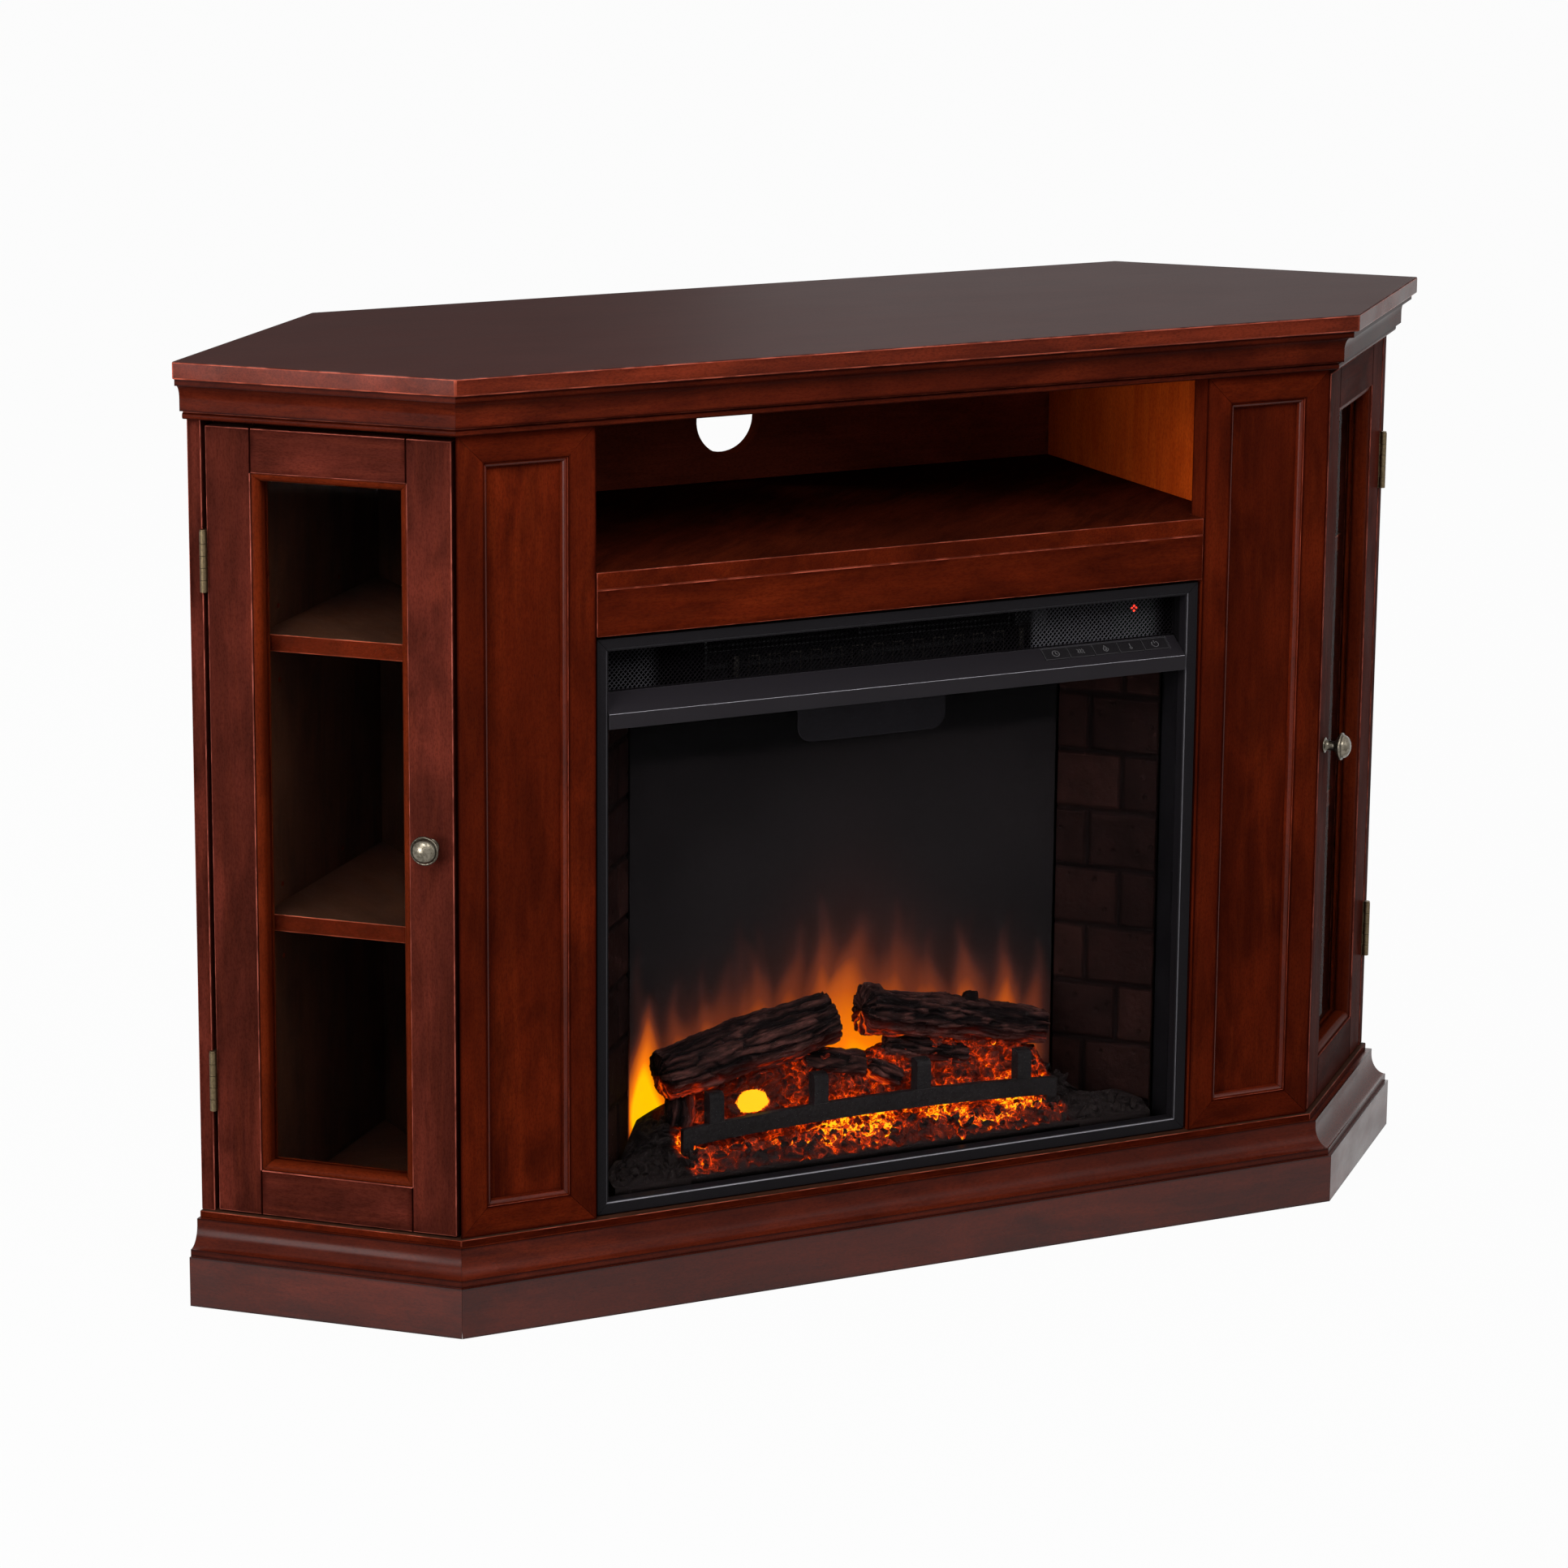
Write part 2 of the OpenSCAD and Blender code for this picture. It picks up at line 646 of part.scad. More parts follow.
module side_panels() color("#3a1a16") both_sides() difference() {
    intersection() {
        on_facet() box([side_in_t, post_d, floor_z], [side_out_t, console_w / 2, top_z]);
        box([divider_out, -half_d, 0], [half_w, half_d, console_h]);
    }
    on_facet() side_peg_holes();
}

// Plan of a right side shelf: it stops at the divider, the angled panel and the pilaster's back
module shelf_plan() {
    front = face_y + shelf_set * root2; // y of the front edge's line where x is corner_x
    y0 = frame_back_y + shelf_gap;
    x1 = divider_out + shelf_gap;
    end_x = corner_x + (shelf_end_t - shelf_set) / root2;
    end_y = face_y + (shelf_end_t + shelf_set) / root2;
    apex_y = face_y + shelf_end_t * root2 + corner_x - x1;
    polygon([[x1, y0], [corner_x + y0 - front, y0], [end_x, end_y], [x1, apex_y]]);
}

module adjustable_shelves() color("#6a2416") both_sides()
    for (z = shelf_z) translate([0, 0, z - shelf_t]) intersection() {
        linear_extrude(shelf_t) shelf_plan();
        box([0, -half_d, -1], [half_w, half_d - shelf_gap, shelf_t + 1]);
    }

module shelf_pins() color("#b8b4ac") both_sides() for (z = shelf_z) {
    sunk = peg_hole - peg_keep;
    for (y = peg_divider_y) translate([divider_out - sunk, y, z - shelf_t - peg_r])
        rotate([0, 90, 0]) cylinder(h = sunk + peg_out, r = peg_r);
    for (d = peg_side_d) on_facet() translate([side_in_t + sunk, d, z - shelf_t - peg_r])
        rotate([0, -90, 0]) cylinder(h = sunk + peg_out, r = peg_r);
}

module back_cover_screws() color("#8d8a84") both_sides() cover_screw_places()
    translate([0, cover_y + panel_t, 0]) rotate([-90, 0, 0]) {
        cylinder(h = 1.8, r1 = 3.6, r2 = 2.6);
        translate([0, 0, -panel_t - screw_l]) cylinder(h = panel_t + screw_l + 0.5, r = screw_r - 0.1);
    }

// ---- Hinges, in the facet's frame ----

module hinge_barrel(r, own, fit) for (k = [own:2:knuckles - 1])
    translate([hinge_t, -hinge_out, k * knuckle_h + (fit ? 0 : knuckle_gap / 2) - (fit ? 0.2 : 0)])
        cylinder(h = knuckle_h - (fit ? -0.4 : knuckle_gap), r = r);

module hinge_leaf(t0, t1, own) difference() {
    union() {
        box([t0, -hinge_out, 0], [t1, leaf_w - hinge_out, hinge_h]);
        hinge_barrel(knuckle_r, own, false);
    }
    hinge_barrel(knuckle_r + 0.3, 1 - own, true);
    translate([hinge_t, -hinge_out, -1]) cylinder(h = hinge_h + 2, r = pin_r + pin_clear);
}

module hinge_post_leaves() color("#8a7a5c") both_sides() on_facet()
    for (z = hinge_z) translate([0, 0, z]) hinge_leaf(hinge_t + leaf_gap / 2, post_t, 0);

module hinge_pins() color("#8a7a5c") both_sides() on_facet()
    for (z = hinge_z) translate([hinge_t, -hinge_out, z]) {
        cylinder(h = hinge_h, r = pin_r);
        translate([0, 0, hinge_h]) cylinder(h = 1.2, r = knuckle_r - 0.4);
    }

module magnetic_catches() color("#3c332c") both_sides() on_facet() {
    front_d = door_t + strike_t + catch_gap;
    box([catch_t0, front_d, floor_z], [catch_t0 + catch_l, front_d + catch_t, floor_z + catch_t]);
}

// ---- Doors, in the facet's frame ----

module door_frame() {
    stile_z = [door_gap, door_end - stile_w];
    difference() {
        for (t = stile_z) box([t, 0, door_z], [t + stile_w, door_t, door_z + door_h]);
        translate([door_gap + knob_in, -1, knob_z]) rotate([-90, 0, 0])
            cylinder(h = door_t + 2, d = knob_screw_d + 0.4);
    }
    rail_t0 = door_gap + stile_w + joint_gap;
    rail_t1 = door_end - stile_w - joint_gap;
    box([rail_t0, 0, door_z], [rail_t1, door_t, glass_z]);
    box([rail_t0, 0, glass_z + glass_h], [rail_t1, door_t, door_z + door_h]);
}

module door_glass() box([door_gap + stile_w + 0.5, bead_set + bead_t, glass_z + 0.5],
    [door_gap + stile_w + glass_w - 0.5, bead_set + bead_t + door_glass_t, glass_z + glass_h - 0.5]);

module door_glass_beads() translate([door_gap + stile_w, 0, glass_z]) {
    front = concat([[bead_set, 0], [bead_set + bead_t, 0], [bead_set + bead_t, bead_w]],
        arc(bead_set + bead_w - 1, 1, 1 - bead_w, bead_w - 1, 90, 0));
    translate([joint_gap, 0, joint_gap]) mitred_frame(glass_w - 2 * joint_gap,
        glass_h - 2 * joint_gap, front, bead_w, door_t);
    back = bead_set + bead_t + door_glass_t;
    strip = [[back, 0], [door_t, 0], [door_t, bead_w], [back, bead_w]];
    translate([joint_gap, 0, joint_gap]) mitred_frame(glass_w - 2 * joint_gap,
        glass_h - 2 * joint_gap, strip, bead_w, door_t);
}

module door_knob() translate([door_gap + knob_in, 0, knob_z]) rotate([90, 0, 0]) {
    r = knob_d / 2;
    difference() {
        rotate_extrude() polygon(concat([[0, 0], [0.52 * r, 0], [0.52 * r, 1.5]],
            arc(0.52 * r, 5.5, 0.52 * r - 4.4, 4, 270, 180), [[4.4, knob_out - 15]],
            arc(0, knob_out - 7, r, 7, -50, 90)));
        translate([0, 0, -1]) cylinder(h = 11, d = knob_screw_d + 0.1);
    }
    translate([0, 0, -door_t]) cylinder(h = door_t + 8, d = knob_screw_d);
    translate([0, 0, -door_t - 2.5]) cylinder(h = 2.5, d1 = 7, d2 = 9);
}

module door_hinge_leaves() for (z = hinge_z) translate([0, 0, z])
    hinge_leaf(door_end, hinge_t - leaf_gap / 2, 1);

module door_strike_plate() box([catch_t0 + (catch_l - strike_l) / 2, door_t, door_z + door_foot_gap],
    [catch_t0 + (catch_l + strike_l) / 2, door_t + strike_t, door_z + door_foot_gap + strike_h]);

module door_left_frame() color("#5a1d12") mirror([1, 0, 0]) on_facet() door_frame();
module door_left_glass() color("#1c2120", 0.4) mirror([1, 0, 0]) on_facet() door_glass();
module door_left_glass_beads() color("#6a2416") mirror([1, 0, 0]) on_facet() door_glass_beads();
module door_left_knob() color("#8f8c84") mirror([1, 0, 0]) on_facet() door_knob();
module door_left_hinge_leaves() color("#8a7a5c") mirror([1, 0, 0]) on_facet() door_hinge_leaves();
module door_left_strike_plate() color("#8d8a84") mirror([1, 0, 0]) on_facet() door_strike_plate();
module door_right_frame() color("#5a1d12") on_facet() door_frame();
module door_right_glass() color("#1c2120", 0.4) on_facet() door_glass();
module door_right_glass_beads() color("#6a2416") on_facet() door_glass_beads();
module door_right_knob() color("#8f8c84") on_facet() door_knob();
module door_right_hinge_leaves() color("#8a7a5c") on_facet() door_hinge_leaves();
module door_right_strike_plate() color("#8d8a84") on_facet() door_strike_plate();

// ---- Insert ----

trim_profile = [[0, 0], [trim_t, 0], [trim_t, trim_w], [2, trim_w], [2, trim_w - 2],
    [0.5, trim_w - 2.5]];

module insert_trim_frame() color("#1b1b1e") translate([-trim_half, trim_y, trim_z])
    mitred_frame(2 * trim_half, trim_h, trim_profile, trim_w, trim_t);

module spindle_bracket(x) difference() {
    box([x, spindle_y - bracket_half, box_floor + joint_gap],
        [x + bracket_t, spindle_y + bracket_half, spindle_z + bracket_half]);
    translate([x - 1, spindle_y, spindle_z]) rotate([0, 90, 0])
        cylinder(h = bracket_t + 2, d = rod_d + 2 * run_clear);
}

module insert_housing() color("#141416") {
    box([-box_half, box_y, floor_z], [box_half, box_back_y, box_floor]);
    box([-box_half, box_y, box_top - sheet_t], [box_half, box_back_y, box_top]);
    both_sides() box([box_in, box_y, box_floor + joint_gap],
        [box_half, box_back_y, box_top - sheet_t - joint_gap]);
    difference() {
        box([-box_in + joint_gap, box_back_y - sheet_t, box_floor + joint_gap],
            [box_in - joint_gap, box_back_y, box_top - sheet_t - joint_gap]);
        translate([gland_x, box_back_y, gland_z]) rotate([90, 0, 0])
            cylinder(h = 4 * sheet_t, d = gland_d - 4, center = true);
    }
    box([-box_in + joint_gap, ledge_rear_y + joint_gap, ledge_foot],
        [box_in - joint_gap, box_back_y - sheet_t - joint_gap, ceiling_z]);
    spindle_bracket(-spindle_l / 2 + bracket_in);
    spindle_bracket(spindle_l / 2 - bracket_in - bracket_t);
}

module on_slope() translate([0, trim_y, ledge_foot + ledge_face_h]) rotate([slope_a, 0, 0])
    children();

function button_x(k) = ledge_half - button_end - (5 - k) * button_pitch;

// The hollow ledge, and two ribs in it that carry the switch board
module control_ledge() color("#1b1b1e") {
    ledge_shell();
    for (k = [1.5, 4.5]) difference() {
        box([button_x(k) - pcb_rib / 2, trim_y + ledge_wall - 0.1, ledge_foot + ledge_wall - 0.1],
            [button_x(k) + pcb_rib / 2, ledge_rear_y, ledge_top - ledge_wall]);
        on_slope() box([-ledge_half, -half_d, board_z - pcb_t], [ledge_half, half_d, half_d]);
    }
}

module ledge_shell() difference() {
    w = ledge_wall;
    front_z = ledge_foot + ledge_face_h;
    translate([-ledge_half, 0, 0]) along_x(2 * ledge_half, [[trim_y, ledge_foot],
        [trim_y, front_z], [trim_y + slope_d, ledge_top], [ledge_rear_y, ledge_top],
        [ledge_rear_y, ledge_foot]]);
    translate([-ledge_half + w, 0, 0]) along_x(2 * ledge_half - 2 * w,
        [[trim_y + w, ledge_foot + w], [trim_y + w, front_z - w / 2],
        [trim_y + slope_d + w / 2, ledge_top - w], [ledge_rear_y + 1, ledge_top - w],
        [ledge_rear_y + 1, ledge_foot + w]]);
    on_slope() translate([0, button_y0, 0]) {
        box([button_x(1) - button_w / 2 - bezel_w, -bezel_w * 2 / 3, -bezel_d],
            [button_x(5) + button_w / 2 + bezel_w, button_d + bezel_w * 2 / 3, 5]);
        for (k = [1:5]) translate([button_x(k), 0, 0])
            box([-button_w / 2 - button_gap, -button_gap, -6],
                [button_w / 2 + button_gap, button_d + button_gap, 5]);
    }
}

module button(k) color("#161618") on_slope() translate([button_x(k), button_y0, 0])
    box([-button_w / 2, 0, -button_t], [button_w / 2, button_d, 0]);

module button_1() button(1);
module button_2() button(2);
module button_3() button(3);
module button_4() button(4);
module button_5() button(5);

// The switch board under the buttons, and the indicator's board behind the grille
module control_board() {
    color("#23402c") on_slope() translate([0, button_y0, board_z]) {
        box([button_x(1) - button_w / 2, -1, -pcb_t], [button_x(5) + button_w / 2, button_d - 2, 0]);
        switch_h = -button_t - button_travel - switch_gap - board_z;
        for (k = [1:5]) translate([button_x(k) - switch_w / 2, (button_d - 2 - switch_w) / 2, -0.1])
            cube([switch_w, switch_w, switch_h + 0.1]);
    }
    rear = grille_y + grille_t;
    color("#23402c") box([button_x(4) - lamp_w, rear + lamp_t, ledge_top],
        [button_x(5) + lamp_w / 2, rear + lamp_t + pcb_t, inner_top]);
    color("#c02010") box([button_x(4) + 2, rear, inner_top - 2 * lamp_h],
        [button_x(4) + 2 + lamp_w, rear + lamp_t, inner_top - lamp_h]);
}

// Expanded metal: rows of diamond holes
module vent_grille() color("#0e0e10") {
    w = 2 * box_in - 1;
    h = box_top - sheet_t - joint_gap - ledge_top;
    pitch = w / 60.4;
    rise = h / 4.1;
    translate([0, grille_y + grille_t, ledge_top]) rotate([90, 0, 0]) linear_extrude(grille_t)
        difference() {
            translate([-w / 2, 0]) square([w, h]);
            for (k = [-29:29], row = [-1:1]) translate([(k + abs(row + 1) % 2 / 2) * pitch,
                h / 2 - 2 + row * rise]) scale([pitch, rise]) circle(r = 0.43, $fn = 4);
        }
}

module front_glass() color("#202428", 0.3)
    box([-box_in + joint_gap, glass_y, box_floor + joint_gap], [box_in - joint_gap, fire_y, fire_top]);

module brick_row(k) {
    z = k * course_h + course_foot;
    split = brick_split[k % 2];
    half = mortar_w / 2;
    for (s = [[0, split * brick_l - half], [split * brick_l + half, brick_l]])
        translate([s[0], -mortar_d - 0.1, z - course_h + mortar_w])
            cube([s[1] - s[0], mortar_d + 0.1, course_h - mortar_w]);
}

module brick_panels() color("#2c1d1a") both_sides() translate([brick_x, brick_y, box_floor])
    rotate([0, 0, brick_a]) intersection() {
        union() {
            box([0, -brick_t, 0], [brick_l, -mortar_d, fire_top - box_floor]);
            for (k = [0:floor((fire_top - box_floor) / course_h) + 1]) brick_row(k);
        }
        box([-1, -brick_t - 1, 0], [brick_l + 1, 1, fire_top - box_floor]);
    }

module flame_screen() color("#30302f") box([-screen_half, screen_y, box_floor],
    [screen_half, screen_y + screen_t, fire_top]);

module lamp_baffle() color("#1b1b1e") translate([0, baffle_y, ledge_foot - baffle_h])
    rotate([90, 0, 0]) linear_extrude(sheet_t) {
        half = baffle_w / 2 - baffle_r;
        for (s = [-1, 1]) translate([s * half, baffle_r]) circle(r = baffle_r);
        translate([-half, 0]) square([2 * half, baffle_r + 1]);
        translate([-baffle_w / 2, baffle_r]) square([baffle_w, baffle_h - baffle_r]);
    }

// ---- Fire bed: surfaces worked out on grids ----

// Closed faces of a tube of rings, each ring sides points, with a middle point at each end
function tube_faces(rings, sides) = concat(
    [for (i = [0:rings - 2], j = [0:sides - 1], h = [0, 1]) let (a = i * sides + j,
        b = i * sides + (j + 1) % sides) h == 0 ? [a, b, b + sides] : [a, b + sides, a + sides]],
    [for (j = [0:sides - 1]) [rings * sides, (j + 1) % sides, j]],
    [for (j = [0:sides - 1]) let (o = (rings - 1) * sides) [rings * sides + 1, o + j,
        o + (j + 1) % sides]]);

// A knotty log along x: its radius swells and ripples along its length and round its bark
module log(length, r, taper, seed) {
    rings = 16;
    sides = 14;
    points = [for (i = [0:rings - 1], j = [0:sides - 1])
        let (s = i / (rings - 1), a = 360 * j / sides,
            swell = 1 - taper * s + 0.05 * sin(500 * s + seed) + 0.035 * sin(4 * a + 300 * s + seed)
                + 0.03 * sin(7 * a - 420 * s + 2 * seed),
            bend = 0.12 * r * sin(180 * s + seed / 3))
        [s * length + 0.12 * r * cos(a + seed), r * swell * cos(a), r * swell * sin(a) + bend]];
    ends = [[0.06 * r, 0, 0.12 * r * sin(seed / 3)], [length - 0.06 * r, 0,
        0.12 * r * sin(180 + seed / 3)]];
    polyhedron(concat(points, ends), [for (f = tube_faces(rings, sides)) [f[2], f[1], f[0]]],
        convexity = 4);
}

// A place on the bed: x in half lengths of the grate, y and z in log radii from the bed's crest
function on_bed(p) = [p[0] * grate_half, log_y + p[1] * log_r, box_floor + bed_back_h + p[2] * log_r];

module laid_log(from, to, r, taper, seed) {
    run = on_bed(to) - on_bed(from);
    translate(on_bed(from)) rotate([0, -atan2(run[2], norm([run[0], run[1]])), atan2(run[1], run[0])])
        log(norm(run), r, taper, seed);
}

module log_left() color("#2b1a12")
    laid_log([-1.053, -0.09, 0.85], [-0.166, 0, 2.46], log_r, 0.02, 40);
module log_right() color("#2b1a12")
    laid_log([0.021, 0, 2.46], [0.995, 0.17, 0.63], log_r, 0.28, 150);
module small_logs() color("#22140e") {
    r = 0.5 * log_r;
    laid_log([0.139, 0, 0.8], [0.551, -0.26, 0.24], r, 0.1, 80);
    laid_log([-0.321, 0, 0.78], [-0.005, -0.17, 0.22], r, -0.08, 10);
    laid_log([0.021, -0.52, 0.15], [0.171, -0.7, -0.33], 0.87 * r, 0.1, 220);
    laid_log([-0.984, -0.17, -0.98], [-0.952, -0.17, 0.24], 1.13 * r, 0.1, 300);
    laid_log([0.92, 0, -1.07], [0.898, 0, -0.02], r, 0.1, 130);
}

function bed_half(y) = (y < brick_y ? brick_x : brick_x
    + (screen_half - brick_x) * (y - brick_y) / (screen_y - brick_y)) - bed_gap;
function coals(x, y) = sin(11 * x + 90 * sin(3 * y)) * cos(13 * y + 2 * x)
    + 0.6 * sin(23 * x - 7 * y) * sin(19 * y + 5 * x);
function bank(t) = t * t * (3 - 2 * t);
// Height of the bed: a low slope as far as the grate's bar, then a bank up to the crest
function bed_top(x, y) = let (rise = bank(max(0, min(1, (y - grate_y - bar_t) / bed_rise))))
    bed_front_h + (bed_low - bed_front_h) * min(1, (y - bed_y0) / (grate_y - bed_y0))
    + (bed_back_h - bed_low) * rise - 0.35 * bed_back_h * pow(abs(x) / screen_half, 4) * rise
    + coal_h * 0.6 * coals(x, y);

// The ember bed: lumpy on top, raised over the lamps underneath
module ember_bed() color("#3a1a0e") {
    nx = 56;
    ny = 18;
    wide = nx + 1;
    deep = ny + 1;
    cell = [for (j = [0:ny], i = [0:nx]) let (y = bed_y0 + (bed_y1 - bed_y0) * j / ny)
        [bed_half(y) * (2 * i / nx - 1), y]];
    top = [for (c = cell) [c[0], c[1], box_floor + bed_top(c[0], c[1])]];
    under = [for (c = cell) [c[0], c[1],
        box_floor + (abs(c[0]) > grate_half + bed_foot ? 0 : lamp_space_h)]];
    n = wide * deep;
    skin = [for (j = [0:ny - 1], i = [0:nx - 1]) let (a = j * wide + i)
        each [[a, a + wide, a + wide + 1], [a, a + wide + 1, a + 1],
            [n + a, n + a + wide + 1, n + a + wide], [n + a, n + a + 1, n + a + wide + 1]]];
    rim = concat([for (i = [0:nx - 1]) [i, i + 1]], [for (j = [0:ny - 1]) [j * wide + nx,
        (j + 1) * wide + nx]], [for (i = [0:nx - 1]) [ny * wide + nx - i, ny * wide + nx - i - 1]],
        [for (j = [0:ny - 1]) [(ny - j) * wide, (ny - j - 1) * wide]]);
    wall = [for (e = rim) each [[e[0], e[1], n + e[1]], [e[0], n + e[1], n + e[0]]]];
    polyhedron(concat(top, under), concat(skin, wall), convexity = 8);
}

// Height of the foot of the grate's bar, which is bowed upwards
function bow(x) = box_floor + grate_z + bar_bow * (1 - pow(x / grate_half, 2));

module grate() color("#121214") {
    steps = 6;
    foot = [for (k = [-steps:steps]) [k / steps * grate_half, bow(k / steps * grate_half)]];
    head = [for (k = [2 * steps:-1:0]) foot[k] + [0, bar_h]];
    translate([0, grate_y + bar_t, 0]) rotate([90, 0, 0]) linear_extrude(bar_t)
        polygon(concat(foot, head));
    for (k = [-1.5:1:1.5]) translate([k * grate_pitch, grate_y + 1, bow(k * grate_pitch) + 2])
        rotate([90, 0, 90]) linear_extrude(upright_w, center = true) {
            translate([upright_round, upright_h - upright_round]) circle(r = upright_round);
            translate([upright_round, 0]) square([upright_d - upright_round, upright_h]);
            square([upright_d, upright_h - upright_round]);
        }
    both_sides() box([grate_half - leg_w, grate_y, box_floor],
        [grate_half, grate_y + bar_t, box_floor + grate_z + 1]);
}

module ember_lamp_strip() color("#e8c060") {
    deep = bed_y1 - bed_y0;
    box([-grate_half + strip_inset, bed_y0 + deep / 4, box_floor],
        [grate_half - strip_inset, bed_y0 + deep * 0.7, box_floor + strip_t]);
}

// ---- Works ----

module flame_spindle() color("#c8c8c8") translate([-spindle_l / 2, spindle_y, spindle_z])
    rotate([0, 90, 0]) {
        cylinder(h = spindle_l, d = rod_d);
        for (k = [0:foils - 1]) translate([0, 0, foil_end + k * (spindle_l - 2 * foil_end) / foils])
            rotate([0, 0, foil_turn * k]) translate([-foil_r, -foil_t / 2, 0])
                cube([2 * foil_r, foil_t, foil_l]);
    }

module spindle_motor() color("#5c5c60")
    translate([spindle_l / 2 - bracket_in + 0.3, spindle_y, spindle_z]) rotate([0, 90, 0]) difference() {
        union() {
            cylinder(h = spindle_motor_l, r = spindle_motor_r);
            translate([0, -foot_w / 2, 0]) cube([spindle_z - box_floor, foot_w, bracket_in]);
        }
        translate([0, 0, -1]) cylinder(h = bore_l + 1, d = rod_d + 2 * run_clear);
    }

module blower_wheel() color("#9a9a9c") translate([-blower_l / 2, wheel_y, wheel_z])
    rotate([0, 90, 0]) {
        translate([0, 0, -shaft_end]) cylinder(h = blower_l + 2 * shaft_end, d = shaft_d);
        for (k = [0:2]) translate([0, 0, k * (blower_l - wheel_plate_t) / 2])
            cylinder(h = wheel_plate_t, r = blower_r);
        for (k = [0:blades - 1]) rotate([0, 0, 360 * k / blades])
            translate([blower_r - 1 - blade_w, -blade_t / 2, 0]) cube([blade_w, blade_t, blower_l]);
    }

module blower_motor() color("#5c5c60")
    translate([blower_l / 2 + cheek_gap + 2 * cheek_t + 0.5, wheel_y, wheel_z]) rotate([0, 90, 0])
        difference() {
            union() {
                cylinder(h = blower_motor_l, r = blower_motor_r);
                translate([0, -foot_w / 2, 4]) cube([wheel_z - ceiling_z, foot_w, 8]);
            }
            translate([0, 0, -1]) cylinder(h = bore_l + 2, d = shaft_d + 2 * run_clear);
        }

// Two cheeks that carry the shaft, and a sheet behind the wheel
module blower_housing() color("#6c6c70") {
    head_z = wheel_z + blower_r + 2;
    both_sides() difference() {
        box([blower_l / 2 + cheek_gap, wheel_y - cheek_reach, ceiling_z],
            [blower_l / 2 + cheek_gap + cheek_t, wheel_y + cheek_reach, head_z]);
        translate([blower_l / 2, wheel_y, wheel_z]) rotate([0, 90, 0])
            cylinder(h = 2 * cheek_gap + cheek_t, d = shaft_d + 2 * run_clear);
    }
    edge = blower_l / 2 + cheek_gap - 0.3;
    box([-edge, wheel_y + cheek_reach - cheek_t, ceiling_z], [edge, wheel_y + cheek_reach, head_z]);
}

// A folded ribbon between two holders
module heating_element() color("#8c8478") {
    foot = ceiling_z + holder_t;
    rows = (element_rows - 1) / 2;
    both_sides() box([element_half - holder_t / 2, element_y - 6, ceiling_z],
        [element_half + holder_t / 2, element_y + 6, ceiling_z + element_h + 6]);
    translate([0, element_y + ribbon_w / 2, foot]) rotate([90, 0, 0]) linear_extrude(ribbon_w)
        for (k = [-rows:rows]) translate([(k - 0.5) * element_pitch - ribbon_w / 2, 0]) {
            square([ribbon_w, element_h]);
            translate([0, k % 2 == 0 ? element_h - ribbon_w : 0])
                square([element_pitch + ribbon_w, ribbon_w]);
        }
    translate([-element_half + holder_t / 2, element_y - ribbon_w / 2, foot])
        cube([element_pitch / 2 - holder_t / 2 + ribbon_w / 2, ribbon_w, ribbon_w]);
}

module cord_gland() color("#0c0c0e") translate([gland_x, box_back_y, gland_z])
    rotate([-90, 0, 0]) difference() {
        union() {
            cylinder(h = gland_l, d1 = gland_d, d2 = gland_d - 3);
            translate([0, 0, -sheet_t]) cylinder(h = sheet_t + 1, d = gland_d - 4);
        }
        translate([0, 0, -2 * sheet_t]) cylinder(h = gland_l + 4 * sheet_t, d = gland_d / 2);
    }

top_panel();
crown_moulding();
plinth_boards();
base_cap_moulding();
frame_rails();
floor_panel();
dividers();
pilaster_frames();
pilaster_panels();
media_shelf();
fascia_rail();
hinge_posts();
bay_back_panel();
insert_back_cover();
side_panels();
adjustable_shelves();
shelf_pins();
back_cover_screws();
hinge_post_leaves();
hinge_pins();
magnetic_catches();
door_left_frame();
door_left_glass();
door_left_glass_beads();
door_left_knob();
door_left_hinge_leaves();
door_left_strike_plate();
door_right_frame();
door_right_glass();
door_right_glass_beads();
door_right_knob();
door_right_hinge_leaves();
door_right_strike_plate();
insert_trim_frame();
insert_housing();
control_ledge();
vent_grille();
button_1();
button_2();
button_3();
button_4();
button_5();
control_board();
front_glass();
brick_panels();
flame_screen();
lamp_baffle();
log_left();
log_right();
small_logs();
ember_bed();
grate();
flame_spindle();
spindle_motor();
blower_wheel();
blower_motor();
blower_housing();
heating_element();
ember_lamp_strip();
cord_gland();
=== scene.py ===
"""Looks of the corner media console and its electric fireplace: finishes, carved and moulded
pieces, fire bed, floor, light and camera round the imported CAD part. Blender metres, +X right,
+Y back, +Z up; sizes below are written in millimetres and turned by MM."""

import json
import math
import bmesh
import bpy
import numpy as np
from mathutils import Matrix, Vector

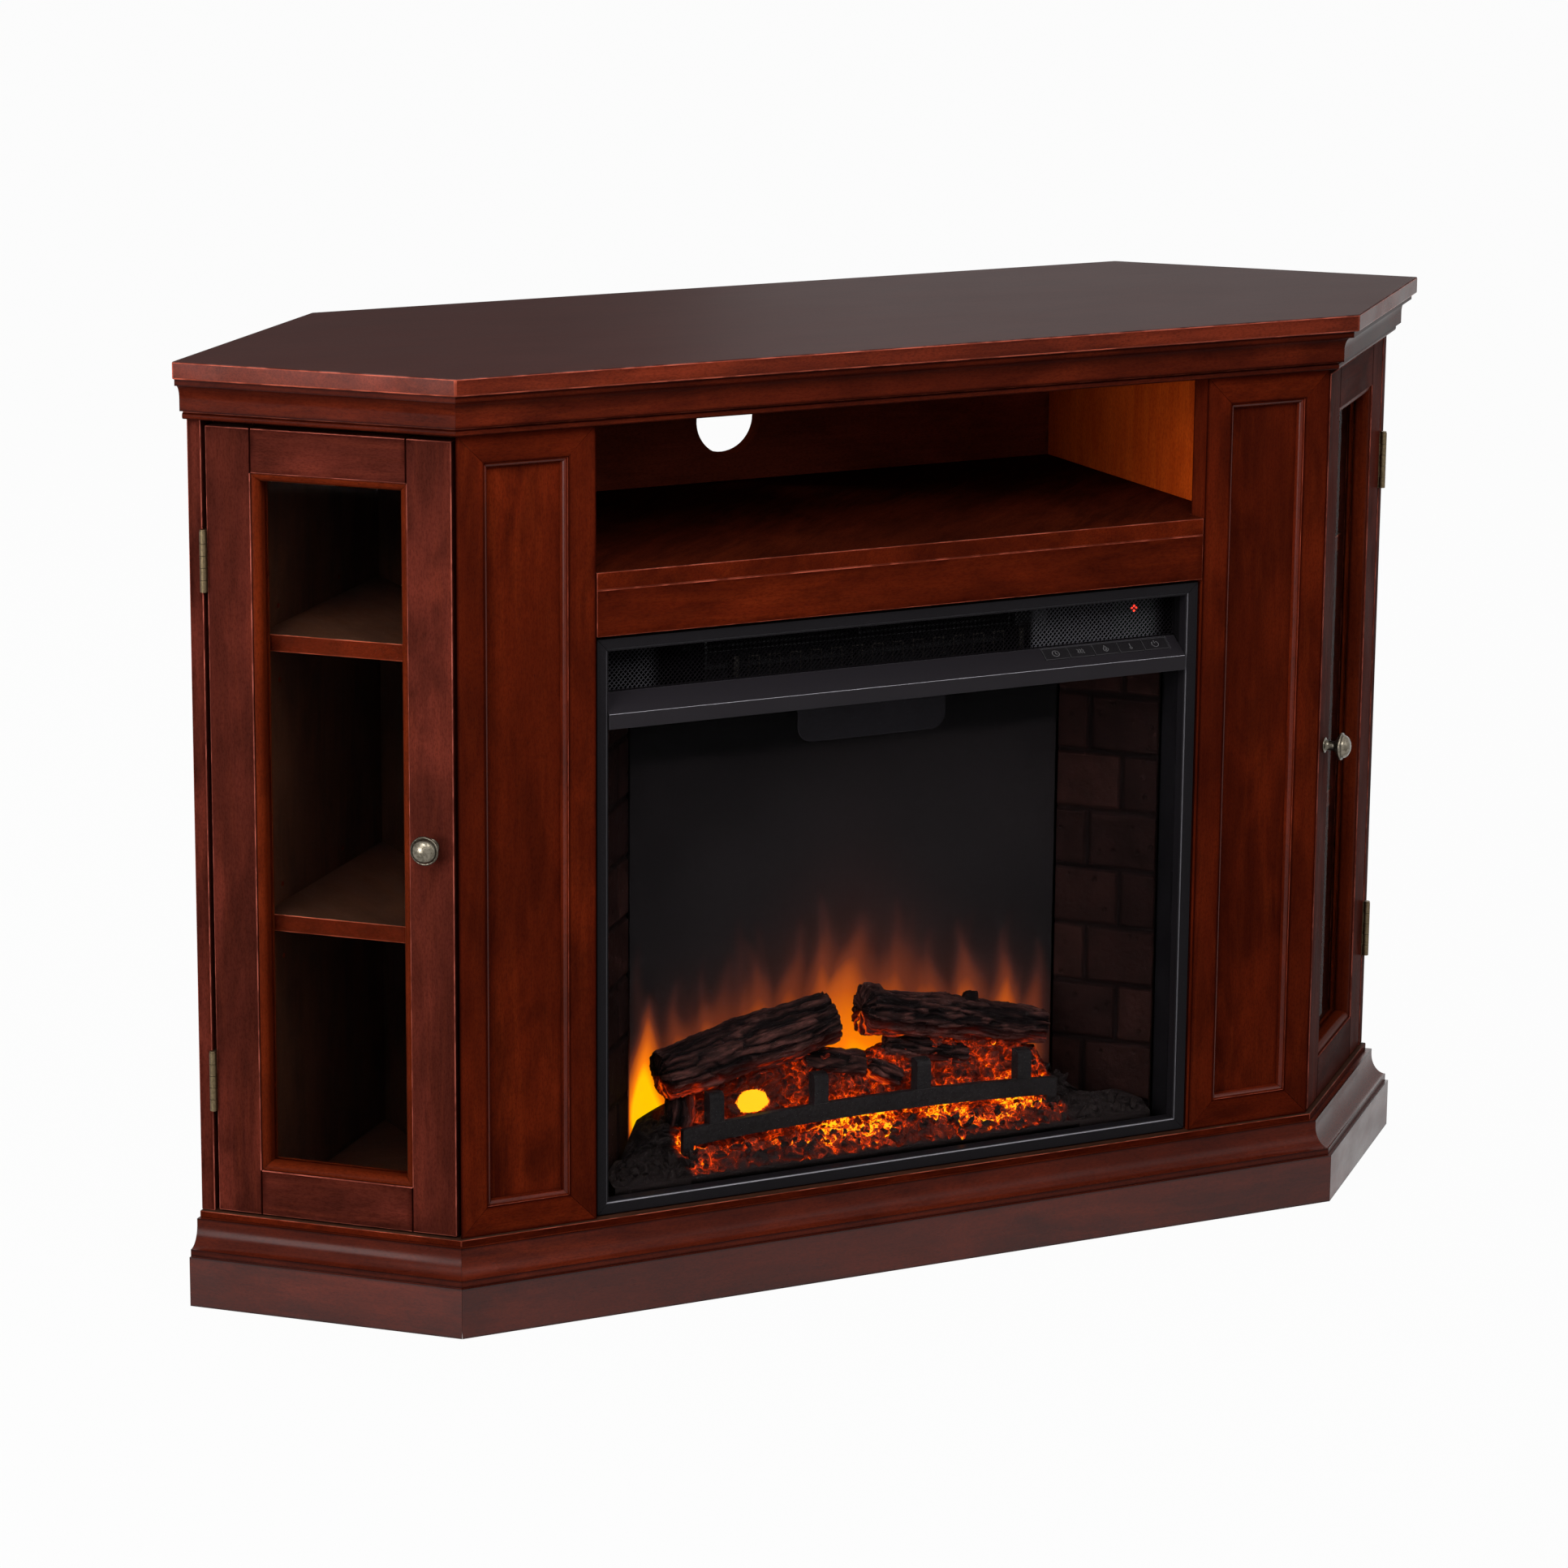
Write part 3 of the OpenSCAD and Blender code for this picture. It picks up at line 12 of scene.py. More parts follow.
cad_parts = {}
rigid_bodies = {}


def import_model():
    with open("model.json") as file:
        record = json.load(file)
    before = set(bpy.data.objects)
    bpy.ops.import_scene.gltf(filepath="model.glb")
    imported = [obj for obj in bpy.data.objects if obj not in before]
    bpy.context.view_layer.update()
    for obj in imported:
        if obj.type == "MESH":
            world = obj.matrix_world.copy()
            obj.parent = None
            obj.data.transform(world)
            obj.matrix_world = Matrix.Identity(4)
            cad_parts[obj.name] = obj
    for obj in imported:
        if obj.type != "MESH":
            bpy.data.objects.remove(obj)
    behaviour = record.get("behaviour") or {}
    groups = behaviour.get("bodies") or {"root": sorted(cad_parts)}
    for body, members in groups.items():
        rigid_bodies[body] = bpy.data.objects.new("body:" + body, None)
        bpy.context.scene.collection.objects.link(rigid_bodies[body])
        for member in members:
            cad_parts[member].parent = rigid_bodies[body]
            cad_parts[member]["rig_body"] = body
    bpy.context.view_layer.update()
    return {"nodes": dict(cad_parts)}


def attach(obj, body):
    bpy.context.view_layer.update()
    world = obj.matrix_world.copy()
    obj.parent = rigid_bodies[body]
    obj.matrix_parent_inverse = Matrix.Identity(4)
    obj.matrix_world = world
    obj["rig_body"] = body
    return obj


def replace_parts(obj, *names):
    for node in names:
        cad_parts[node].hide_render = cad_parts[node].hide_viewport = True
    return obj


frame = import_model()

MM = 0.001
ROOT2 = math.sqrt(2)
MITRE = math.tan(math.radians(22.5))

# Sizes in millimetres, as in the part's source. The cabinet: its front plane, the front corner
# where a facet starts, a facet's length, half the front opening, heights from the floor, and the
# gap of a mitre.
FACE_Y = -164.0
CORNER_X = 420.816
FACET_L = 239.84
HALF_OPEN = 294.816
FLOOR_Z = 79.0
HEAD_Z = 768.0
TOP_Z = 804.0
PLINTH_H = 44.0
CAP_Z = 73.6
JOINT = 0.2

# The doors: width of a stile, foot of the glass, its size, and the place of the knob.
STILE_W = 44
GLASS_Z = 120
GLASS_W, GLASS_H = 139.34, 605.0
KNOB_T, KNOB_Z = 24, 420

# The insert: its trim, the ledge under the grille with its buttons, and the grille.
TRIM_HALF = 292.016
TRIM_Y = -160.0
TRIM_Z = 80.5
TRIM_H = 504.5
TRIM_W = 11.0
TRIM_T = 12.0
LEDGE_Z = 520
LEDGE_SLOPE = math.radians(35.942)
BUTTON_X, BUTTON_PITCH, BUTTON_FOOT, BUTTON_D = 257.516, 25.2, 10.7, 12.8
GRILLE_HALF, GRILLE_LOW, GRILLE_HIGH = 281.0, 534.7, 580.2
GRILLE_FRONT, GRILLE_BACK = -138.5, -137.5
LAMP_AT = (240.3, -137.2, 561.5)

# The firebox: its floor and head, the flame screen, the brick panels with their courses, and the
# ember bed: heights over the floor, places of its front edge, the foot and crest of its bank and
# its back edge, and the middle and half size of the lit window in the bank.
BOX_FLOOR = 80.5
FIRE_TOP = 506.7
SCREEN_Y = -53.0
SCREEN_HALF = 213.016
BRICK_X, BRICK_Y = 277.03, -125.0
BRICK_L = math.hypot(BRICK_X - SCREEN_HALF, SCREEN_Y - BRICK_Y)
BRICK_TURN = math.atan2(SCREEN_Y - BRICK_Y, SCREEN_HALF - BRICK_X)
COURSE_H, COURSE_FOOT, MORTAR_W = 53.8, 14, 4
BED_FRONT, BED_LOW, BED_CREST = 15.0, 27.0, 72.0
BED_Y = (-142, -106, -88, -56)
WINDOW_X, WINDOW_Z = -111.5, 141.6
WINDOW_W, WINDOW_H = 15.5, 10.5


# ---- Camera, at the photograph's viewing angle ----

def place_camera():
    """Camera axes from yaw (from +Y towards +X), pitch and roll: forward is (sin yaw cos pitch,
    cos yaw cos pitch, sin pitch), right is level, and roll turns right and up about forward."""
    yaw, pitch, roll = (math.radians(a) for a in (26.771, -13.739, 0.457))
    forward = np.array([math.sin(yaw) * math.cos(pitch), math.cos(yaw) * math.cos(pitch),
                        math.sin(pitch)])
    right = np.array([math.cos(yaw), -math.sin(yaw), 0.0])
    up = np.cross(right, forward)
    turned = right * math.cos(roll) + up * math.sin(roll)
    raised = up * math.cos(roll) - right * math.sin(roll)
    camera = bpy.data.objects.new("camera", bpy.data.cameras.new("camera"))
    bpy.context.scene.collection.objects.link(camera)
    axes = Matrix(np.stack([turned, raised, -forward], 1).tolist())
    camera.matrix_world = Matrix.Translation((-2.0622, -4.0171, 1.4997)) @ axes.to_4x4()
    camera.data.sensor_width = 36
    camera.data.lens = 119.29
    camera.data.clip_end = 60
    bpy.context.scene.camera = camera


place_camera()


# ---- Noise on arrays ----

def lattice(cells, seed):
    """A number from 0 to 1 for each whole-number cell, by integer hashing of its coordinates."""
    c = cells.astype(np.int64)
    h = c[..., 0] * 374761393 + c[..., 1] * 668265263 + c[..., 2] * 2147483647 + seed * 974634777
    h = (h ^ (h >> 13)) * 1274126177
    h = (h ^ (h >> 16)) * 1911520717
    return ((h ^ (h >> 15)) & 0xFFFFFF) / float(0xFFFFFF)


def soft_noise(points, cell, seed=0):
    """Value noise: lattice numbers at the eight corners of each cell, blended smoothly between."""
    p = points / np.asarray(cell, float)
    base = np.floor(p)
    t = p - base
    t = t * t * (3 - 2 * t)
    total = np.zeros(p.shape[:-1])
    for corner in np.ndindex(2, 2, 2):
        weight = np.prod(np.where(corner, t, 1 - t), axis=-1)
        total += weight * lattice(base + corner, seed)
    return total


def smooth(value, low, high):
    """0 below low, 1 above high, and an easy curve between them."""
    t = np.clip((value - low) / (high - low), 0, 1)
    return t * t * (3 - 2 * t)


def layered(points, cell, octaves=4, seed=0, fade=0.5):
    """Soft noise added up at halving cell sizes and fading weights, from 0 to 1."""
    cell = np.asarray(cell, float)
    weights = fade ** np.arange(octaves)
    parts = [w * soft_noise(points, cell / 2 ** k, seed + 17 * k) for k, w in enumerate(weights)]
    return sum(parts) / weights.sum()


def lumps(points, cell, seed=0):
    """Distances to the nearest and second nearest of one random point in each cell, in cells,
    a number from 0 to 1 that belongs to the nearest, and the height over a plane through that
    point which tips its own way."""
    p = points / np.asarray(cell, float)
    base = np.floor(p)
    near = np.full(p.shape[:-1], 9.0)
    second = near.copy()
    own = np.zeros(p.shape[:-1])
    away = np.zeros(p.shape)
    for corner in np.ndindex(3, 3, 3):
        c = base + np.array(corner) - 1
        to = p - c - np.stack([lattice(c, seed + k) for k in (1, 2, 3)], -1)
        d = np.linalg.norm(to, axis=-1)
        second = np.where(d < near, near, np.minimum(second, d))
        own = np.where(d < near, lattice(c, seed + 4), own)
        away = np.where((d < near)[..., None], to, away)
        near = np.minimum(near, d)
    turn = 2 * np.pi * 7 * own
    return near, second, own, (away * np.stack([np.cos(turn), np.sin(turn),
                                                np.sin(turn + 2)], -1)).sum(-1)


# ---- Materials ----

class Graph:
    """A node tree, emptied for a new start: each method adds a node and returns its socket."""

    def __init__(self, tree, output):
        tree.nodes.clear()
        self.tree = tree
        self.output = tree.nodes.new(output)

    def show(self, shader):
        self.tree.links.new(shader, self.output.inputs["Surface"])

    def node(self, kind, feeds=(), **settings):
        n = self.tree.nodes.new("ShaderNode" + kind)
        for name, value in settings.items():
            setattr(n, name, value)
        for socket, value in dict(feeds).items():
            if isinstance(value, bpy.types.NodeSocket):
                self.tree.links.new(value, n.inputs[socket])
            elif value is not None:
                n.inputs[socket].default_value = value
        return n

    def math(self, kind, a, b=None):
        return self.node("Math", {0: a, 1: b}, operation=kind).outputs[0]

    def looked_at(self):
        """1 for rays from the camera, off gloss and through glass, and 0 for all others."""
        path = self.node("LightPath").outputs
        bent = self.math("MAXIMUM", path["Is Glossy Ray"], path["Is Transmission Ray"])
        return self.math("MAXIMUM", path["Is Camera Ray"], bent)


class Finish(Graph):
    """The graph of one material."""

    def __init__(self, name):
        self.material = bpy.data.materials.new(name)
        self.material.use_nodes = True
        super().__init__(self.material.node_tree, "ShaderNodeOutputMaterial")

    def place(self):
        return self.node("TexCoord").outputs["Object"]

    def attribute(self, name, output="Fac"):
        return self.node("Attribute", attribute_name=name).outputs[output]

    def stretched(self, vector, scale):
        return self.node("Mapping", {"Vector": vector, "Scale": scale}).outputs[0]

    def noise(self, vector, scale=1.0, detail=3.0, rough=0.55, warp=0.0, output="Fac"):
        return self.node("TexNoise", {"Vector": vector, "Scale": scale, "Detail": detail,
                                      "Roughness": rough, "Distortion": warp}).outputs[output]

    def cracks(self, vector, scale, width):
        """1 on the borders of a net of cells, down to 0 at width from them."""
        away = self.node("TexVoronoi", {"Vector": vector, "Scale": scale},
                         feature="DISTANCE_TO_EDGE").outputs["Distance"]
        return self.span(away, 0.0, width, 1.0, 0.0)

    def ramp(self, fac, *stops):
        n = self.node("ValToRGB", {"Fac": fac})
        ramp = n.color_ramp
        ramp.elements.remove(ramp.elements[1])
        for k, (at, rgb) in enumerate(stops):
            element = ramp.elements.new(at) if k else ramp.elements[0]
            element.position = at
            element.color = (*rgb, 1)
        return n.outputs["Color"]

    def mix(self, fac, a, b, blend="MIX"):
        n = self.node("Mix", data_type="RGBA", blend_type=blend)
        for socket, value in ((n.inputs[0], fac), (n.inputs[6], a), (n.inputs[7], b)):
            if isinstance(value, bpy.types.NodeSocket):
                self.tree.links.new(value, socket)
            else:
                socket.default_value = (*value, 1) if isinstance(value, tuple) else value
        return n.outputs[2]

    def tinted(self, fac, tone, by):
        """Tone, moved by fac towards tone times the colour by."""
        return self.mix(fac, tone, self.mix(1.0, tone, by, "MULTIPLY"))

    def span(self, value, low, high, out_low=0.0, out_high=1.0):
        """Value from low to high, turned smoothly to out_low to out_high and held there."""
        return self.node("MapRange", {"Value": value, "From Min": low, "From Max": high,
                                      "To Min": out_low, "To Max": out_high},
                         interpolation_type="SMOOTHSTEP").outputs[0]

    def bump(self, height, distance, strength):
        return self.node("Bump", {"Height": height, "Distance": distance,
                                  "Strength": strength}).outputs[0]

    def surface(self, colour, roughness, normal=None, **more):
        feeds = {"Base Color": (*colour, 1) if isinstance(colour, tuple) else colour,
                 "Roughness": roughness, "Normal": normal}
        feeds.update({k.replace("_", " "): v for k, v in more.items()})
        shader = self.node("BsdfPrincipled", feeds).outputs[0]
        self.show(shader)
        return shader


def board_edge(f):
    """Distance in metres from a point on a board to the board's nearest edge: of the three
    distances to the faces of its box, the middle one."""
    gap = f.node("VectorMath", {0: f.attribute("half", "Vector"), 1: f.node(
        "VectorMath", {0: f.attribute("place", "Vector")}, operation="ABSOLUTE").outputs[0]},
        operation="SUBTRACT").outputs[0]
    x, y, z = f.node("SeparateXYZ", {0: gap}).outputs
    return f.math("MAXIMUM", f.math("MINIMUM", x, y),
                  f.math("MINIMUM", f.math("MAXIMUM", x, y), z))


def wood(name, dark, mid, warm, sheen=0.32, gloss=0.0, rub_and_highlight=0.8, glaze_and_shade=0.6, patchy=1.0):
    """Stained and lacquered wood on each board's own grain coordinates, from three shades of one
    colour: slow blotches of stain, soft figure drawn out along the grain, fine dark flecks and
    pores, darkening near the edges of a board and along its grooves, partly dark glazing and
    partly painted shade, and lighter arrises, partly wear and partly a painted highlight. sheen
    is the roughness, gloss the specular level, rub how strongly the arrises are lightened, and
    glaze and patchy how strong the darkening at edges and grooves and the blotches are."""
    f = Finish(name)
    grain = f.attribute("grain", "Vector")

    def drawn(along, across, detail, rough, warp=0.0):
        """Noise at along cells in a metre of the grain's way and across cells the other ways."""
        return f.noise(f.stretched(grain, (along, across, across)), 1, detail, rough, warp)

    fibre = drawn(24, 520, 3, 0.7)
    tone = f.mix(f.span(drawn(10, 26, 4, 0.62, 0.5), 0.3, 0.7), dark, mid)
    bands = f.span(drawn(6, 62, 4, 0.62, 1.6), 0.4, 0.74)
    tone = f.mix(f.math("MULTIPLY", bands, 0.3), tone, warm)
    tone = f.mix(f.span(drawn(3.4, 8, 3, 0.55, 0.4), 0.36, 0.68, 0.0, 0.6 * patchy), tone, dark)
    tone = f.tinted(f.span(drawn(300, 760, 2, 0.6), 0.42, 0.66, 0.0, 0.42), tone,
                    (0.42, 0.36, 0.36))
    tone = f.tinted(f.span(fibre, 0.35, 0.7, 0.0, 0.24), tone, (0.5, 0.42, 0.4))
    tone = f.mix(f.span(drawn(170, 1700, 1, 0.5), 0.64, 0.78, 0.0, 0.45), tone,
                 (0.012, 0.004, 0.003))
    uneven = f.noise(f.stretched(f.place(), (40, 40, 40)), 1, 3, 0.6)
    # Darker near the board's edges and along its grooves: partly dark glazing, partly painted
    # shade.
    shade = f.math("MULTIPLY", f.span(board_edge(f), 0.0, 0.007, 1.0, 0.0),
                   f.span(uneven, 0.3, 0.7))
    shade = f.math("MAXIMUM", f.math("MULTIPLY", shade, glaze_and_shade), f.attribute("groove"))
    tone = f.tinted(shade, tone, (0.16, 0.1, 0.1))
    # Lighter arrises: partly wear, partly a painted highlight.
    worn = f.math("MULTIPLY", f.attribute("arris"), f.span(uneven, 0.4, 0.64, 0.25, 1.0))
    tone = f.mix(f.math("MULTIPLY", worn, rub_and_highlight), tone, tuple(min(1.0, 2 * c + 0.035) for c in warm))
    height = f.math("ADD", f.math("MULTIPLY", drawn(30, 160, 2, 0.5), 0.6),
                    f.math("MULTIPLY", fibre, 0.4))
    f.surface(tone, f.span(drawn(9, 20, 4, 0.6), 0.3, 0.75, sheen - 0.06 * patchy,
                           sheen + 0.08 * patchy),
              f.bump(height, 0.0001, 0.3), Specular_IOR_Level=gloss)
    return f.material


stained_wood = wood("stained_wood", (0.045, 0.0052, 0.0018), (0.11, 0.0118, 0.0032),
                    (0.175, 0.0225, 0.0052), gloss=0.004)
moulded_wood = wood("moulded_wood", (0.043, 0.0056, 0.0024), (0.1, 0.0125, 0.0046),
                    (0.165, 0.0235, 0.007), sheen=0.2, gloss=0.011)
cap_wood = wood("cap_wood", (0.045, 0.006, 0.0026), (0.105, 0.0135, 0.0046), (0.16, 0.022, 0.0065),
                sheen=0.24, gloss=0.07)
# A lighter copy of the stain for the edges of the top: a painted highlight.
slab_wood_painted_highlight = wood("slab_wood_painted_highlight", (0.075, 0.0098, 0.004), (0.16, 0.021, 0.008), (0.235, 0.035, 0.012),
                 sheen=0.22, gloss=0.05)
# A greyer copy of the stain for the doors and hinge posts: the grey is a painted sheen of the
# lacquer.
door_wood_painted_sheen = wood("door_wood_painted_sheen", (0.043, 0.0085, 0.0055), (0.12, 0.0215, 0.0135),
                 (0.19, 0.033, 0.0165), gloss=0.001, patchy=1.3)
edge_wood = wood("edge_wood", (0.05, 0.006, 0.002), (0.11, 0.012, 0.0035), (0.17, 0.022, 0.0055),
                 sheen=0.2, gloss=0.16)
# A lighter copy of the stain, with less darkening, for the glass beads: a painted highlight.
bead_wood_painted_highlight = wood("bead_wood_painted_highlight", (0.07, 0.0085, 0.0022), (0.125, 0.0155, 0.0035), (0.19, 0.026, 0.006),
                 gloss=0.01, glaze_and_shade=0.3)
plinth_wood = wood("plinth_wood", (0.043, 0.0056, 0.0026), (0.1, 0.0125, 0.0046),
                   (0.15, 0.02, 0.0065), gloss=0.3)
top_wood = wood("top_wood", (0.026, 0.0052, 0.0034), (0.03, 0.0061, 0.004),
                (0.036, 0.0073, 0.0047), sheen=0.38, gloss=0.002, glaze_and_shade=0.1, patchy=0.08)
inner_wood = wood("inner_wood", (0.032, 0.0125, 0.0075), (0.058, 0.021, 0.012),
                  (0.088, 0.031, 0.0155), sheen=0.5, gloss=0.02, rub_and_highlight=0.3)
# A much brighter copy of the stain for the bay's walls: painted light falling into the bay.
bay_wood_painted_light = wood("bay_wood_painted_light", (0.42, 0.048, 0.004), (0.62, 0.085, 0.007), (0.75, 0.125, 0.011),
                sheen=0.45, gloss=0.02, rub_and_highlight=0.3, glaze_and_shade=0.3)
shelf_wood = wood("shelf_wood", (0.026, 0.004, 0.0016), (0.058, 0.0078, 0.0026),
                  (0.09, 0.0135, 0.004), sheen=0.5)
# A brighter copy of the stain for the front of the bay's back panel: painted light.
back_wood_painted_light = wood("back_wood_painted_light", (0.2, 0.036, 0.016), (0.34, 0.06, 0.028), (0.42, 0.08, 0.036),
                 sheen=0.5)


# ---- Meshes ----

def link(mesh, name, body, material):
    piece = bpy.data.objects.new(name, mesh)
    bpy.context.scene.collection.objects.link(piece)
    mesh.materials.append(material)
    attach(piece, body)
    return piece


def even_normals(piece, angle=50):
    """Smooth shading with creases at angle, and flat faces kept flat by their area."""
    piece.data.shade_smooth()
    piece.data.set_sharp_from_angle(angle=math.radians(angle))
    modifier = piece.modifiers.new("normals", "WEIGHTED_NORMAL")
    modifier.keep_sharp = True
    modifier.weight = 100


def shells(mesh):
    """Label of the loose part that each vertex belongs to: labels spread along edges until none
    changes."""
    edges = np.empty(2 * len(mesh.edges), np.int32)
    mesh.edges.foreach_get("vertices", edges)
    a, b = edges.reshape(-1, 2).T
    label = np.arange(len(mesh.vertices))
    while True:
        low = np.minimum(label[a], label[b])
        new = label.copy()
        np.minimum.at(new, a, low)
        np.minimum.at(new, b, low)
        new = new[new]
        if (new == label).all():
            return np.unique(label, return_inverse=True)[1]
        label = new


def points_of(mesh):
    co = np.empty(3 * len(mesh.vertices), np.float32)
    mesh.vertices.foreach_get("co", co)
    return co.reshape(-1, 3).astype(float)


def store(mesh, name, values, kind="FLOAT", domain="POINT"):
    field = "vector" if kind == "FLOAT_VECTOR" else "value"
    attribute = mesh.attributes.get(name) or mesh.attributes.new(name, kind, domain)
    attribute.data.foreach_set(field, np.ascontiguousarray(values, np.float32).ravel())


def face_middles(mesh):
    """Middle of each face, in millimetres."""
    middle = np.empty(3 * len(mesh.polygons), np.float32)
    mesh.polygons.foreach_get("center", middle)
    return middle.reshape(-1, 3) / MM


WAYS = np.array([[0, 0, 1], [1, 0, 0], [0, 1, 0], [1 / ROOT2, 1 / ROOT2, 0],
                 [1 / ROOT2, -1 / ROOT2, 0]])


def lay_grain(mesh):
    """Grain coordinates of each loose part, in metres: along its longest way among up, across,
    back and the two facets, then across and through it, each part moved by its own amount. place
    and half are the same measured from the middle of the part's box, and that box's half size."""
    points = points_of(mesh)
    label = shells(mesh)
    grain = np.zeros_like(points)
    place = np.zeros_like(points)
    half = np.zeros_like(points)
    for k in range(label.max() + 1):
        mine = label == k
        p = points[mine]
        spans = (p @ WAYS.T).max(0) - (p @ WAYS.T).min(0)
        way = WAYS[spans.argmax()]
        side = np.cross(way, [0, 0, 1]) if abs(way[2]) < 0.5 else WAYS[1 + spans[1:].argmax()]
        basis = np.stack([way, side, np.cross(way, side)], 1)
        own = p @ basis
        low, high = own.min(0), own.max(0)
        place[mine] = own - (low + high) / 2
        half[mine] = (high - low) / 2
        grain[mine] = own + lattice(np.array([[k, j, len(points)] for j in range(3)]), 5) * 7
    store(mesh, "grain", grain, "FLOAT_VECTOR")
    store(mesh, "place", place, "FLOAT_VECTOR")
    store(mesh, "half", half, "FLOAT_VECTOR")


def dressed(node, material, edge=0.8, segments=2, flat=True, cuts=()):
    """A merged copy of a CAD node with the edges sharper than 35 degrees rounded by edge
    millimetres, which stands for the node. The faces of the rounding are marked by the attribute
    arris, and all faces are divided at the heights in cuts."""
    mesh = bpy.data.meshes.new(node + "_finished")
    bm = bmesh.new()
    bm.from_mesh(frame["nodes"][node].data)
    bmesh.ops.remove_doubles(bm, verts=bm.verts, dist=2e-6)
    if flat:
        bmesh.ops.dissolve_limit(bm, angle_limit=0.01, verts=bm.verts, edges=bm.edges)
    sharp = [e for e in bm.edges if len(e.link_faces) == 2
             and e.calc_face_angle(0) > math.radians(35)]
    mark = bm.faces.layers.float.new("arris")
    if edge:
        made = bmesh.ops.bevel(bm, geom=sharp, offset=edge * MM, segments=segments, profile=0.5,
                               affect="EDGES", clamp_overlap=True)
        for face in made["faces"]:
            face[mark] = 1.0
    for height in cuts:
        bmesh.ops.bisect_plane(bm, geom=[*bm.verts, *bm.edges, *bm.faces], dist=1e-6,
                               plane_co=(0, 0, height * MM), plane_no=(0, 0, 1))
        bm.faces.sort(key=lambda face: face.calc_center_median() @ Vector((1.0, 7.13, 31.7)))
    bm.to_mesh(mesh)
    bm.free()
    for extra in [a.name for a in mesh.attributes if a.name.startswith("custom_normal")]:
        mesh.attributes.remove(mesh.attributes[extra])
    lay_grain(mesh)
    piece = link(mesh, node + "_finished", frame["nodes"][node]["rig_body"], material)
    even_normals(piece)
    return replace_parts(piece, node)


def by_face(piece, materials, rule):
    """More materials for a piece: rule gives each face the number of its material, 0 for the
    first one."""
    for material in materials:
        piece.data.materials.append(material)
    for face in piece.data.polygons:
        face.material_index = int(rule(face.normal, face.center))


def scale_arris_faces(mesh, share, dirt=None):
    """Each face's arris, the lightening of its edge that is partly a painted highlight, times
    share and, with dirt, a groove of dirt times what the arris was.
    """
    rubbed = np.empty(len(mesh.polygons), np.float32)
    mesh.attributes["arris"].data.foreach_get("value", rubbed)
    store(mesh, "arris", rubbed * share, domain="FACE")
    if dirt is not None:
        store(mesh, "groove", rubbed * dirt, domain="FACE")


# ---- Pieces worked out as surfaces ----

class Shape:
    """Points, faces and per-point values of one piece, gathered part by part, in millimetres."""

    def __init__(self):
        self.points, self.faces, self.values, self.count = [], [], {}, 0

    def add(self, points, *faces, **values):
        points = np.asarray(points, float).reshape(-1, 3)
        self.points.append(points)
        self.faces += [np.asarray(f) + self.count for f in faces]
        for name, value in values.items():
            self.values.setdefault(name, []).append(np.reshape(value, (len(points), -1)))
        self.count += len(points)

    def piece(self, name, body, slot, material, angle=50):
        mesh = bpy.data.meshes.new(name)
        mesh.vertices.add(self.count)
        mesh.vertices.foreach_set("co", (np.concatenate(self.points) * MM).ravel())
        counts = np.concatenate([np.full(len(f), f.shape[1]) for f in self.faces])
        corners = np.concatenate([f.ravel() for f in self.faces])
        mesh.loops.add(len(corners))
        mesh.loops.foreach_set("vertex_index", corners.astype(np.int32))
        mesh.polygons.add(len(counts))
        mesh.polygons.foreach_set("loop_start", (np.cumsum(counts) - counts).astype(np.int32))
        mesh.update(calc_edges=True)
        for key, parts in self.values.items():
            value = np.concatenate(parts)
            store(mesh, key, value, "FLOAT" if value.shape[1] == 1 else "FLOAT_VECTOR")
        bm = bmesh.new()
        bm.from_mesh(mesh)
        bmesh.ops.recalc_face_normals(bm, faces=bm.faces)
        bm.to_mesh(mesh)
        bm.free()
        made = link(mesh, name, body, material)
        even_normals(made, angle)
        return made


def rim_of(grid):
    """True for the points on the rim of a grid."""
    rim = np.zeros(grid.shape, bool)
    rim[[0, -1]] = rim[:, [0, -1]] = True
    return rim


def rim_face(grid):
    """One face of the points round the rim of a grid, which closes it from behind."""
    n, m = grid.shape
    return np.concatenate([np.arange(m), m * np.arange(1, n) + m - 1,
                           n * m - 2 - np.arange(m - 1), m * np.arange(n - 2, 0, -1)])[None]


def quads(rows, columns, closed=False):
    """Quads between the neighbours of a grid of points, row by row; closed joins each row's last
    point to its first."""
    i, j = np.meshgrid(np.arange(rows - 1), np.arange(columns - (not closed)), indexing="ij")
    a, b = i * columns + j, i * columns + (j + 1) % columns
    return np.stack([a, b, b + columns, a + columns], -1).reshape(-1, 4)


